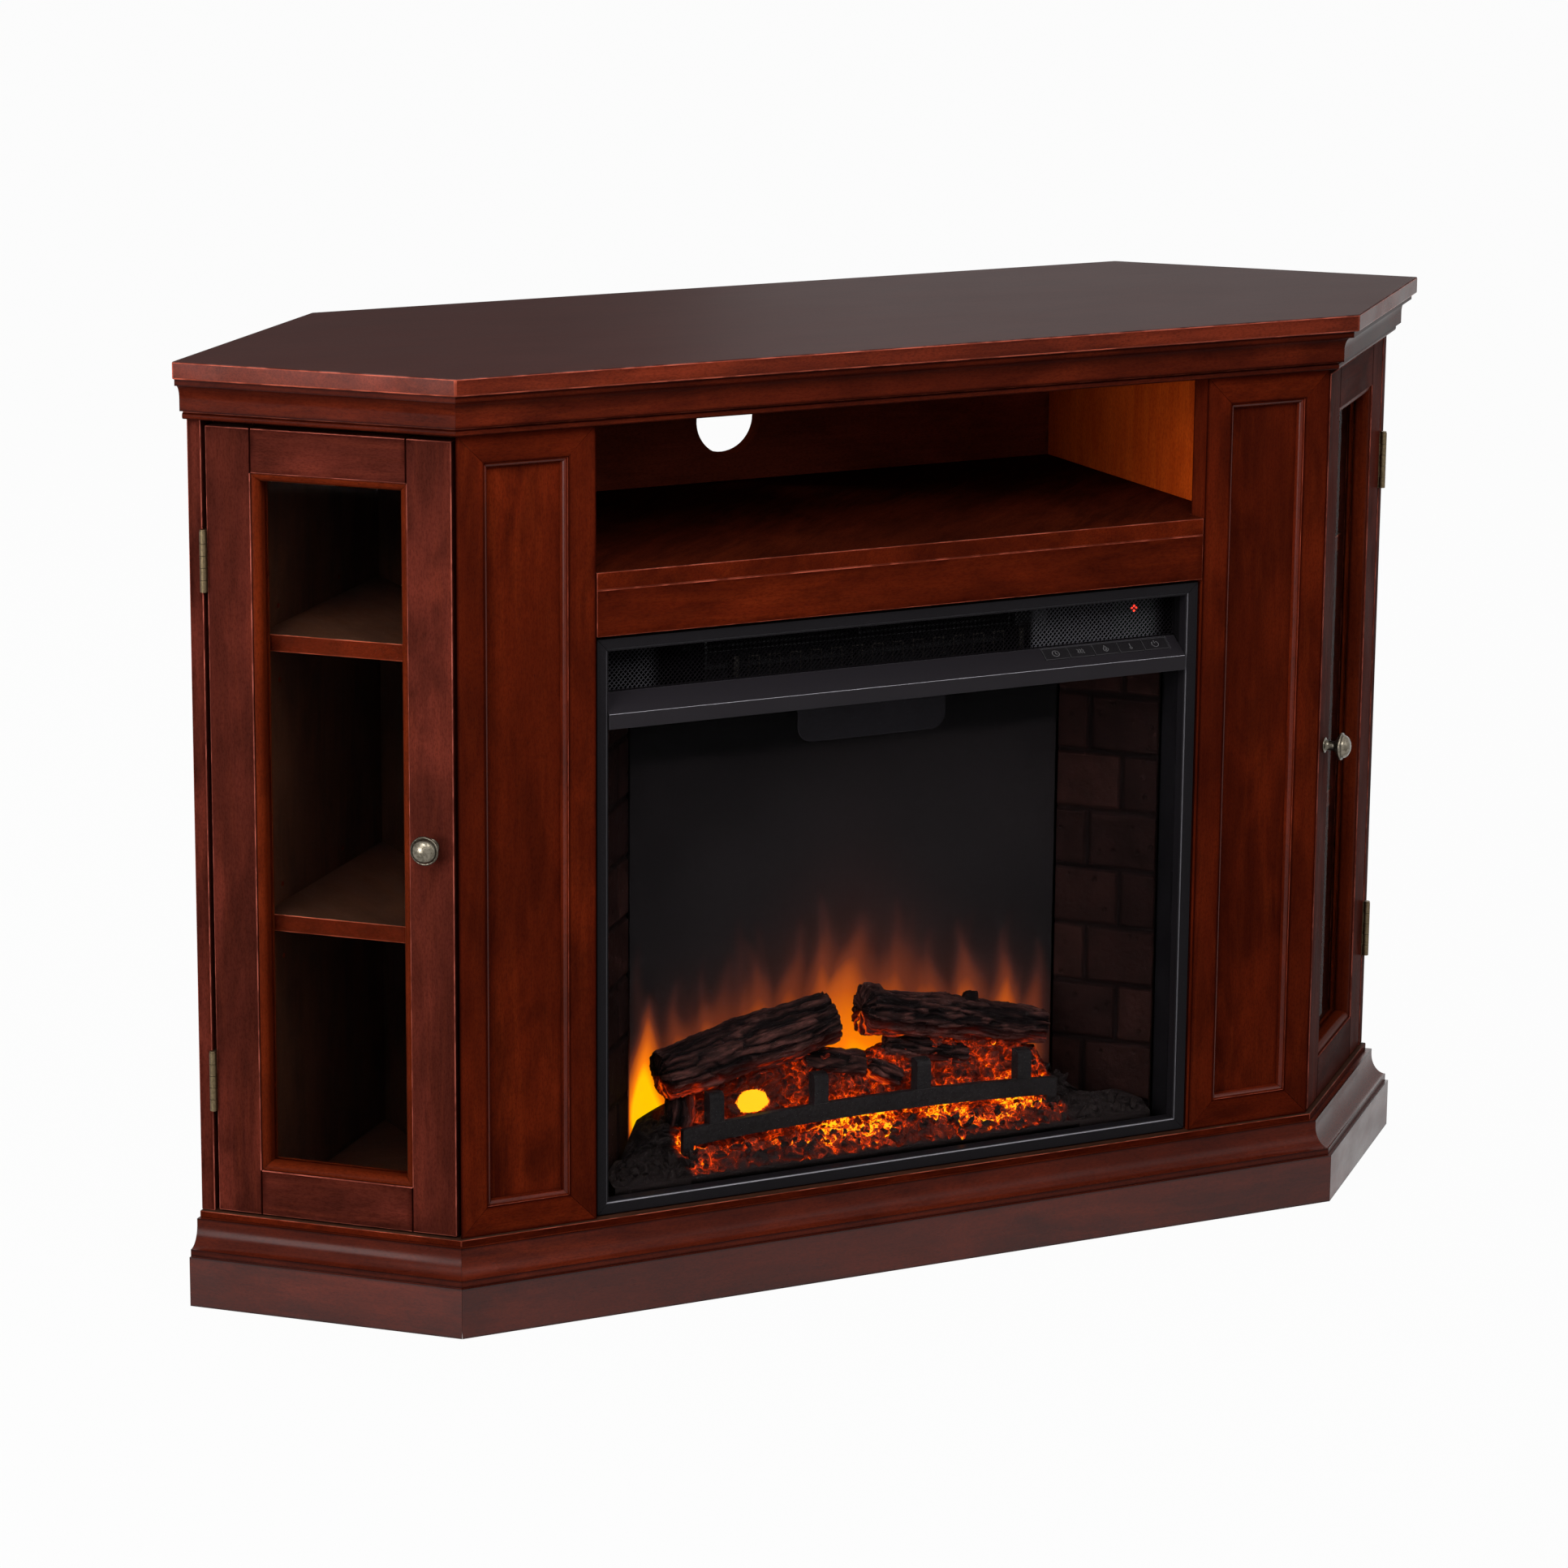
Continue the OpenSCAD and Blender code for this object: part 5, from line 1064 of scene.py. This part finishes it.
def flame_pane():
    """The flame screen: a pane whose front carries the flames as warmth. The warmth is the
    strongest of a few named tongues and of many faint seeded ones, over a haze that falls off
    upwards and outwards."""
    x, z = np.meshgrid(np.linspace(-SCREEN_HALF, SCREEN_HALF, 340),
                       np.linspace(BOX_FLOOR, FIRE_TOP, 240), indexing="ij")
    place = np.stack([x, 0 * x, z], -1)
    sway = 11 * (layered(place, (50, 9, 62), 3, 4) - 0.5)
    heat = np.zeros(x.shape)
    named = ((-193, 96, 240, 22, -3, 1.7), (-163, 130, 250, 17, -4, 0.66),
             (-124, 150, 268, 20, 4, 0.48), (-90, 150, 280, 22, -5, 0.5),
             (-54, 160, 292, 20, 5, 0.5), (-22, 160, 312, 22, -4, 0.52),
             (8, 130, 292, 46, 0, 0.98), (48, 160, 300, 22, 5, 0.46), (88, 150, 268, 19, -3, 0.46),
             (124, 150, 274, 20, -7, 0.6), (156, 140, 262, 18, 8, 0.66),
             (192, 135, 246, 17, 5, 0.5))
    for middle, foot, tip, width, lean, power in named:
        heat = np.maximum(heat, flame_tongue(x + sway, z, foot, tip, middle, width, lean, power))
    rng = np.random.default_rng(11)
    for _ in range(34):
        middle = rng.uniform(-205, 200)
        tip = rng.uniform(215, 300) + 46 * math.exp(-(middle / 70) ** 2)
        faint = flame_tongue(x + sway, z, 120, tip, middle, rng.uniform(9, 18),
                             rng.uniform(-9, 9), rng.uniform(0.14, 0.3))
        heat = heat + faint * (1 - np.clip(heat, 0, 1)) * 0.8
    reach = 72 + 48 * np.exp(-((x - 5) / 95) ** 2)
    haze = np.exp(-((z - 110) / reach) ** 2) * smooth(SCREEN_HALF - np.abs(x), 0, 50)
    heat = np.clip(heat + 0.6 * haze * (1 - heat), 0, 1.15)
    # The top of the screen is darkened as a painted shadow of the lamp baffle above it.
    fade = smooth(z, 440, 452)
    shape = Shape()
    rim = rim_of(x)
    y = np.where(rim, SCREEN_Y + 3, SCREEN_Y)
    shape.add(np.stack([x, y, z], -1), quads(*x.shape), rim_face(x), warmth=heat * (~rim),
              veil=fade)
    f = Finish("flame_screen")
    haze = f.noise(f.place(), 6, 3, 0.5)
    # Darker where the painted shadow of the baffle lies.
    tone = f.mix(f.attribute("veil"), f.mix(f.span(haze, 0.3, 0.7), (0.0062, 0.0052, 0.0054),
                                            (0.0086, 0.0072, 0.0075)), (0.003, 0.0027, 0.0028))
    hot = f.attribute("warmth")
    glow = f.ramp(hot, (0.0, (0, 0, 0)), (0.2, (0.032, 0.0065, 0.0032)),
                  (0.42, (0.13, 0.022, 0.006)), (0.66, (0.5, 0.085, 0.003)),
                  (0.88, (0.93, 0.2, 0.001)), (1.0, (1.0, 0.55, 0.0)))
    f.surface(tone, f.span(haze, 0.3, 0.7, 0.5, 0.6), Emission_Color=glow,
              Emission_Strength=1.15, Specular_IOR_Level=0.01)
    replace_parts(shape.piece("flame_pane", "cabinet", "flame_screen", f.material, angle=30),
                "flame_screen")


def bed_half(y):
    """Half width of the bed: up to the brick panels less 9 mm."""
    t = np.clip((y - BRICK_Y) / (SCREEN_Y - BRICK_Y), 0, 1)
    return BRICK_X + (SCREEN_HALF - BRICK_X) * t - 9


def bed_height(x, y):
    """The bed without its coals: a low slope as far as the grate's bar, then a bank up to the
    crest, which falls towards the ends and swells where it carries the logs."""
    rise = smooth(y, -105, -91)
    crest = BED_CREST * (1 - np.where(x < 0, 0.43, 0.56) * (np.abs(x) / SCREEN_HALF) ** 4)
    swell = np.interp(x, (-190, -170, -120, -60, -30, -5, 20, 60, 120, 150, 176, 196),
                      (0, 2, 12, 24, 20, 4, 14, 22, 22, 22, 14, 0))
    slope = np.clip((y - BED_Y[0]) / 31, 0, 1)
    return (BOX_FLOOR + BED_FRONT + (BED_LOW - BED_FRONT) * slope
            + rise * (np.maximum(crest, BED_LOW - 5) - BED_LOW)
            + swell * smooth(y, -100, -88) * (1 - smooth(y, -70, -60)))


def coal_field(x, y, z):
    """Height of the coals over the bed and the warmth between them: broken shards that lie two
    ways, each with a tipped face, hot in the cracks and on their thin edges, and fine ash at the
    ends of the bed."""
    place = np.stack([x, y, z], -1)
    warp = 9 * np.stack([layered(place, 14, 2, k) - 0.5 for k in (31, 32, 33)], -1)
    way = smooth(layered(place, 26, 2, 29), 0.46, 0.54)
    turned = []
    for angle, seed in ((0.6, 21), (-0.75, 51)):
        c, s = math.cos(angle), math.sin(angle)
        p = place + warp
        across, up = p[..., 0], p[..., 2] + 0.8 * p[..., 1]
        spun = np.stack([c * across + s * up, p[..., 1] * 0.4, -s * across + c * up], -1)
        turned.append(lumps(spun, (19, 12, 9), seed))
    near, second, own, tip = [a + (b - a) * way for a, b in zip(*turned)]
    crack = smooth(second - near, 0.02, 0.22)
    flake, flake2, flake_own, flake_tip = lumps(place + 0.6 * warp, (7, 6, 6), 22)
    crack2 = smooth(flake2 - flake, 0.0, 0.3)
    rough = layered(place, 4, 3, 23)
    live = smooth(194 - np.abs(x + 2) - 16 * (layered(place, 20, 2, 25) - 0.5), 0, 14)
    height = live * (6.5 * crack * (0.5 + 0.5 * own) + 5.5 * tip) + (1 - live) * 3.5 * crack
    height += 2.2 * crack2 * flake_own + 1.5 * flake_tip + 2.6 * rough - 5.0
    drift = layered(place, (38, 26, 26), 3, 24)
    front = (0.58 + 0.72 * smooth(y, -132, -112)) * (0.82 + 0.26 * (x / 190) ** 2)
    bank = (1.1 - 0.68 * smooth(z, 113, 142)) * (0.5 + 0.5 * smooth(x, -98, -60))
    region = np.where(y < -105, front, bank) * (0.42 + 0.86 * smooth(drift, 0.34, 0.64))
    thin = smooth(-tip, -0.05, 0.5)
    hot = np.maximum(np.maximum(0.95 * (1 - crack), 0.8 * thin),
                     0.52 * (1 - crack2) + 0.3 * (own > 0.72) + 0.1)
    hot = hot * region * (0.8 + 0.4 * rough)
    foot = smooth(y, -141, -137)
    return height, np.clip(hot * foot, 0, 1) * live


def ember_finish():
    """Cast embers: dark grit, lit through from within where the attribute warmth says."""
    f = Finish("ember")
    grit = f.noise(f.place(), 500, 3, 0.7)
    cloud = f.noise(f.place(), 170, 3, 0.6)
    shift = f.node("VectorMath", {0: f.place(), 1: f.node("VectorMath", {0: f.noise(
        f.place(), 60, 3, output="Color"), "Scale": 0.02}, operation="SCALE").outputs[0]},
        operation="ADD").outputs[0]
    line = f.cracks(shift, 115, 0.13)
    thread = f.cracks(shift, 260, 0.16)
    glow = f.math("ADD", f.math("MULTIPLY", line, 0.75), f.math("MULTIPLY", thread, 0.4))
    hot = f.math("MULTIPLY", f.attribute("warmth"), f.math("ADD", glow, 0.62))
    hot = f.math("MULTIPLY", hot, f.span(cloud, 0.3, 0.7, 1.08, 0.8))
    hot = f.math("MAXIMUM", hot, f.span(f.attribute("warmth"), 1.02, 1.1))
    tone = f.mix(f.span(grit, 0.35, 0.7), (0.004, 0.003, 0.003), (0.014, 0.0095, 0.0088))
    tone = f.mix(f.span(f.attribute("warmth"), 0.05, 0.4), tone, (0.045, 0.009, 0.004))
    glowing(f, tone, hot, 1.35, f.span(grit, 0.3, 0.7, 0.55, 0.85), f.bump(grit, 0.0006, 0.8),
            Specular_IOR_Level=0.04)
    return f.material


def coal_bed(material):
    """The ember bed. On a grid of rows, close together where the bank is steep, the coals stand
    out along the bed's own slope; a lit window in the bank is an oval left smooth. Each side is
    closed by one face, and the floor clears the lamps."""
    nx, ny = 430, 136
    s, across = np.meshgrid(np.linspace(0, 1, ny), np.linspace(-1, 1, nx), indexing="ij")
    y = np.interp(s, (0, 0.32, 0.82, 1), BED_Y)
    x = bed_half(y) * across
    z = bed_height(x, y)
    height, hot = coal_field(x, y, z)
    inner = np.clip(np.minimum(np.minimum(s, 1 - s) * 16, (1 - np.abs(across)) * 30), 0, 1)
    wander = 0.12 * (layered(np.stack([x, y, z], -1), 9, 2, 61) - 0.5)
    window = smooth(1.06 - np.hypot((x - WINDOW_X) / WINDOW_W, (z - WINDOW_Z) / WINDOW_H)
                    - wander, 0, 0.1)
    window = window * (y < -86)
    height = (height * (1 - window) - 2.5 * window) * inner
    hot = np.maximum(hot * (1 - 0.7 * window), 1.15 * window)
    steep = smooth(y, -108, -102) * (1 - smooth(y, -92, -84))
    top = np.stack([x, y - (0.2 + 0.7 * steep) * height, z + (1 - 0.55 * steep) * height], -1)
    under = BOX_FLOOR + 0.1 + 7.9 * (np.abs(x) < 195)
    low = np.stack([x, y, under], -1)[[0, -1]]
    n = nx * ny
    shape = Shape()
    k = np.arange(nx - 1)
    a, b = n + k, n + nx + k
    floor = np.stack([a, b, b + 1, a + 1], -1)
    fore = np.stack([k, a, a + 1, k + 1], -1)
    aft = np.stack([n - nx + k + 1, b + 1, b, n - nx + k], -1)
    left = np.concatenate([nx * np.arange(ny), [n + nx, n]])
    right = np.concatenate([nx * np.arange(ny) + nx - 1, [n + 2 * nx - 1, n + nx - 1]])[::-1]
    shape.add(np.concatenate([top.reshape(-1, 3), low.reshape(-1, 3)]), quads(ny, nx)[:, ::-1],
              floor, fore, aft, left[None], right[None],
              warmth=np.append(hot.ravel(), np.zeros(2 * nx)))
    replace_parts(shape.piece("coal_bed", "cabinet", "ember", material, angle=180), "ember_bed")


def log_tube(shape, start, end, radius, taper, seed, flat=1.0, knots=()):
    """A charred log from start to end. On a grid along it and round it the radius swells slowly,
    is split by long cracks between plates of bark, and is rough at a millimetre; the ends close
    over in a broken face. knots are stubs, each of place along, turn round, height and spread."""
    start, end = np.array(start, float), np.array(end, float)
    way = (end - start) / np.linalg.norm(end - start)
    side = np.cross(way, [0, 0, 1])
    side /= np.linalg.norm(side)
    up = np.cross(side, way)
    length = np.linalg.norm(end - start)
    rows, sides = int(length * 0.95), int(radius * 6.6)
    cap = 9
    u = np.concatenate([np.zeros(cap), np.linspace(0, 1, rows), np.ones(cap)])
    closing = np.linspace(0.04, 0.94, cap)
    body = np.concatenate([closing, np.ones(rows), closing[::-1]])
    a = np.linspace(0, 2 * np.pi, sides, endpoint=False)
    u, a = np.meshgrid(u, a, indexing="ij")
    body = np.repeat(body[:, None], sides, 1)
    cos, sin = np.cos(a), np.sin(a)
    along = np.stack([u * length, radius * cos, radius * sin], -1) + seed * 31.7
    swell = 1 + 0.34 * (layered(along, (48, 26, 26), 2, seed) - 0.5)
    warp = 5 * np.stack([layered(along, 13, 2, seed + k) - 0.5 for k in (1, 2, 3)], -1)
    near, second, own, tip = lumps(along + warp, (52, 9, 9), seed + 4)
    crack = smooth(second - near, 0.0, 0.3)
    ridge, ridge2 = (1 - np.abs(2 * layered(along + warp, cell, 2, seed + k) - 1) * 2.2
                     for k, cell in ((5, (44, 6.5, 6.5)), (12, (20, 3.2, 3.2))))
    fine = layered(along, (5, 2, 2), 3, seed + 6)
    bark = (1.6 * (crack - 0.8) * (0.6 + 0.8 * own) + 1.5 * tip + 2.1 * (ridge - 0.5)
            + 1.1 * (ridge2 - 0.5) + 1.7 * (fine - 0.5))
    r = radius * (1 - taper * u) * (1 - 0.14 * (2 * u - 1) ** 2) * swell + bark
    for at, turn, tall, spread in knots:
        dist = ((u - at) * length / spread) ** 2 + (np.angle(np.exp(1j * (a - turn)))
                                                    * radius / spread) ** 2
        r = r + tall * smooth(1.3 - dist, 0, 0.9) * (0.85 + 0.3 * fine)
    bend = 0.1 * radius * np.sin(np.pi * u + seed)
    shown = layered(np.stack([radius * body * cos, radius * body * sin, u * 40 + seed], -1),
                    5, 3, seed + 7)
    poke = (1 - body) * 2.5 + (body < 1) * (shown - 0.5) * 9 * np.minimum(1, (1 - body) * 9)
    x = u * length + np.where(u < 0.5, -1, 1) * poke
    offset = (r * body)[..., None] * (cos[..., None] * side + flat * sin[..., None] * up)
    points = start + x[..., None] * way + offset + bend[..., None] * up
    n = points.shape[0]
    ends = np.stack([points[0].mean(0), points[-1].mean(0)])
    ring = np.arange(sides)
    fans = [np.stack([np.full(sides, n * sides + k), first + (ring + step) % sides,
                      first + (ring + 1 - step) % sides], -1)
            for k, first, step in ((0, 0, 1), (1, (n - 1) * sides, 0))]
    low = smooth(-(sin * 0.8 + 0.15), -0.1, 0.9)
    drift = layered(along, 24, 2, seed + 8)
    hot = (1 - crack * smooth(ridge, 0.1, 0.6)) * low * smooth(drift, 0.4, 0.6) + 0.22 * low
    depth = np.clip(0.45 + bark / 6, 0, 1)
    shape.add(np.concatenate([points.reshape(-1, 3), ends]), quads(n, sides, True), *fans,
              warmth=np.append(np.clip(hot, 0, 1), [0, 0]), relief=np.append(depth, [0.5, 0.5]),
              grain=np.concatenate([along.reshape(-1, 3), np.zeros((2, 3))]) * MM)


def log_finish():
    f = Finish("charred_log")
    grain = f.attribute("grain", "Vector")
    fibre = f.noise(f.stretched(grain, (70, 420, 420)), 1, 4, 0.72)
    cloud = f.noise(f.place(), 70, 4, 0.6)
    tone = f.mix(f.span(cloud, 0.35, 0.7), (0.026, 0.0095, 0.008), (0.07, 0.026, 0.021))
    tone = f.mix(f.span(fibre, 0.4, 0.62, 0.0, 0.75), tone, (0.009, 0.0045, 0.004))
    tone = f.mix(f.span(f.attribute("relief"), 0.2, 0.8), (0.003, 0.0018, 0.0018), tone)
    hot = f.math("MULTIPLY", f.attribute("warmth"), f.span(fibre, 0.35, 0.65, 1.0, 0.45))
    glowing(f, tone, hot, 0.9, f.span(cloud, 0.3, 0.7, 0.6, 0.85), f.bump(fibre, 0.0014, 0.9),
            Specular_IOR_Level=0.03)
    return f.material


def lay_logs(material):
    left, right, small = Shape(), Shape(), Shape()
    log_tube(left, (-197, -86, 171), (-31, -84, 208), 26.0, 0.03, 2)
    log_tube(right, (4, -84, 209), (186, -80, 167), 24.5, 0.26, 5, 0.95,
             knots=((0.58, 1.7, 8, 8), (0.05, 2.2, 5, 12)))
    log_tube(small, (26, -84, 171), (103, -90, 158), 12, 0.06, 8)
    log_tube(small, (-60, -84, 170.5), (-1, -88, 157.5), 12.5, -0.08, 11)
    log_tube(small, (4, -96, 156), (32, -100, 145), 10, 0.1, 14)
    log_tube(small, (-184, -88, 128), (-178, -88, 158), 13.5, 0.1, 17)
    log_tube(small, (172, -84, 126), (168, -84, 152), 11.5, 0.1, 20)
    for shape, name, node in ((left, "log_left_charred", "log_left"),
                              (right, "log_right_charred", "log_right"),
                              (small, "small_logs_charred", "small_logs")):
        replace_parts(shape.piece(name, "cabinet", "charred_log", material, angle=180), node)


def loose_coals(material):
    """Broken coals strewn over the bed: faceted balls, cut back to the nearest of ten planes set
    round them at random, each stretched and turned its own way, dark above and hot below."""
    rng = np.random.default_rng(23)
    shape = Shape()
    rings, sides = 6, 12
    u, v = np.meshgrid(np.linspace(0, np.pi, rings + 2)[1:-1],
                       np.linspace(0, 2 * np.pi, sides, endpoint=False), indexing="ij")
    ball = np.concatenate([np.stack([np.sin(u) * np.cos(v), np.sin(u) * np.sin(v), np.cos(u)],
                                    -1).reshape(-1, 3), [[0, 0, 1], [0, 0, -1]]])
    poles = np.full((2, sides), rings * sides) + [[0], [1]]
    ring = np.arange(sides)
    after, last = (ring + 1) % sides, (rings - 1) * sides
    fans = (np.stack([poles[0], ring, after], -1),
            np.stack([poles[1], last + after, last + ring], -1))
    for k in range(230):
        y = rng.uniform(-139, -112) if k % 3 else rng.uniform(-92, -66)
        x = rng.uniform(-1, 1) * (bed_half(np.array(y)) - 9)
        z = float(bed_height(np.array(x), np.array(y)))
        size = rng.uniform(2.4, 5.6) * np.array([1.5, 0.8, 0.62])
        turn = np.linalg.qr(rng.normal(size=(3, 3)))[0]
        plane = rng.normal(size=(3, 10))
        plane /= np.linalg.norm(plane, axis=0)
        cut = (rng.uniform(0.55, 0.95, 10) / np.maximum(ball @ plane, 0.3)).min(1)[:, None]
        rock = (ball * np.minimum(cut, 1.3) * size) @ turn
        hot = np.clip(0.35 - rock[:, 2] / 7, 0, 1) * (abs(x + 3) < 178) * rng.uniform(0.2, 1.0)
        shape.add(rock + [x, y, z + 0.5], quads(rings, sides, True), *fans, warmth=hot)
    shape.piece("loose_coals", "cabinet", "ember", material, angle=25)


brick_faces()
flame_pane()
ember = ember_finish()
coal_bed(ember)
loose_coals(ember)
lay_logs(log_finish())


# ---- Floor, light and world ----

def set_stage():
    """A pale floor that shows white to the camera with the object's soft shadow on it, a white
    world behind, which lights the object a little, and square lamps: a strong one low at the
    left, two near ones over the left door and the front, soft ones at the right and above, and
    two behind."""
    mesh = bpy.data.meshes.new("floor")
    mesh.from_pydata([(-30, -30, 0), (30, -30, 0), (30, 30, 0), (-30, 30, 0)], [], [(0, 1, 2, 3)])
    floor = bpy.data.objects.new("floor", mesh)
    bpy.context.scene.collection.objects.link(floor)
    f = Finish("pale_floor")
    matt = f.node("BsdfDiffuse", {"Color": (0.3, 0.3, 0.3, 1)}).outputs[0]
    white = f.node("Emission", {"Color": (1, 1, 1, 1), "Strength": 1.0}).outputs[0]
    share = f.math("MULTIPLY", f.looked_at(), 0.97)
    f.show(f.node("MixShader", {0: share, 1: matt, 2: white}).outputs[0])
    mesh.materials.append(f.material)
    world = bpy.data.worlds.new("studio")
    bpy.context.scene.world = world
    world.use_nodes = True
    sky = Graph(world.node_tree, "ShaderNodeOutputWorld")
    strength = sky.node("MapRange", {"Value": sky.looked_at(), "To Min": 0.2,
                                     "To Max": 1.0}).outputs[0]
    sky.show(sky.node("Background", {"Color": (1, 1, 1, 1), "Strength": strength}).outputs[0])
    for name, at, aim, size, power in (
            ("key", (-3.2, -1.25, 0.75), (-0.4, -0.1, 0.45), 1.2, 50),
            ("near_left", (-1.25, -0.75, 1.4), (-0.45, -0.1, 0.6), 0.7, 13),
            ("near_front", (-0.15, -1.2, 1.7), (0, -0.1, 0.55), 0.8, 15),
            ("fill", (2.2, -2.8, 2.0), (0, 0, 0.4), 1.6, 15),
            ("top", (0.3, 0.6, 3.0), (0, 0, 0.5), 2.4, 14),
            ("back", (2.2, 3.0, 1.7), (0, 0.1, 0.6), 1.6, 14),
            ("back_left", (-1.7, 3.1, 1.7), (0, 0.1, 0.5), 1.6, 60)):
        lamp = bpy.data.lights.new(name, "AREA")
        lamp.shape = "SQUARE"
        lamp.size = size
        lamp.energy = power
        holder = bpy.data.objects.new(name, lamp)
        bpy.context.scene.collection.objects.link(holder)
        holder.location = at
        holder.rotation_mode = "QUATERNION"
        holder.rotation_quaternion = (Vector(at) - Vector(aim)).to_track_quat("Z", "Y")


set_stage()
bpy.context.scene.view_settings.view_transform = "Standard"
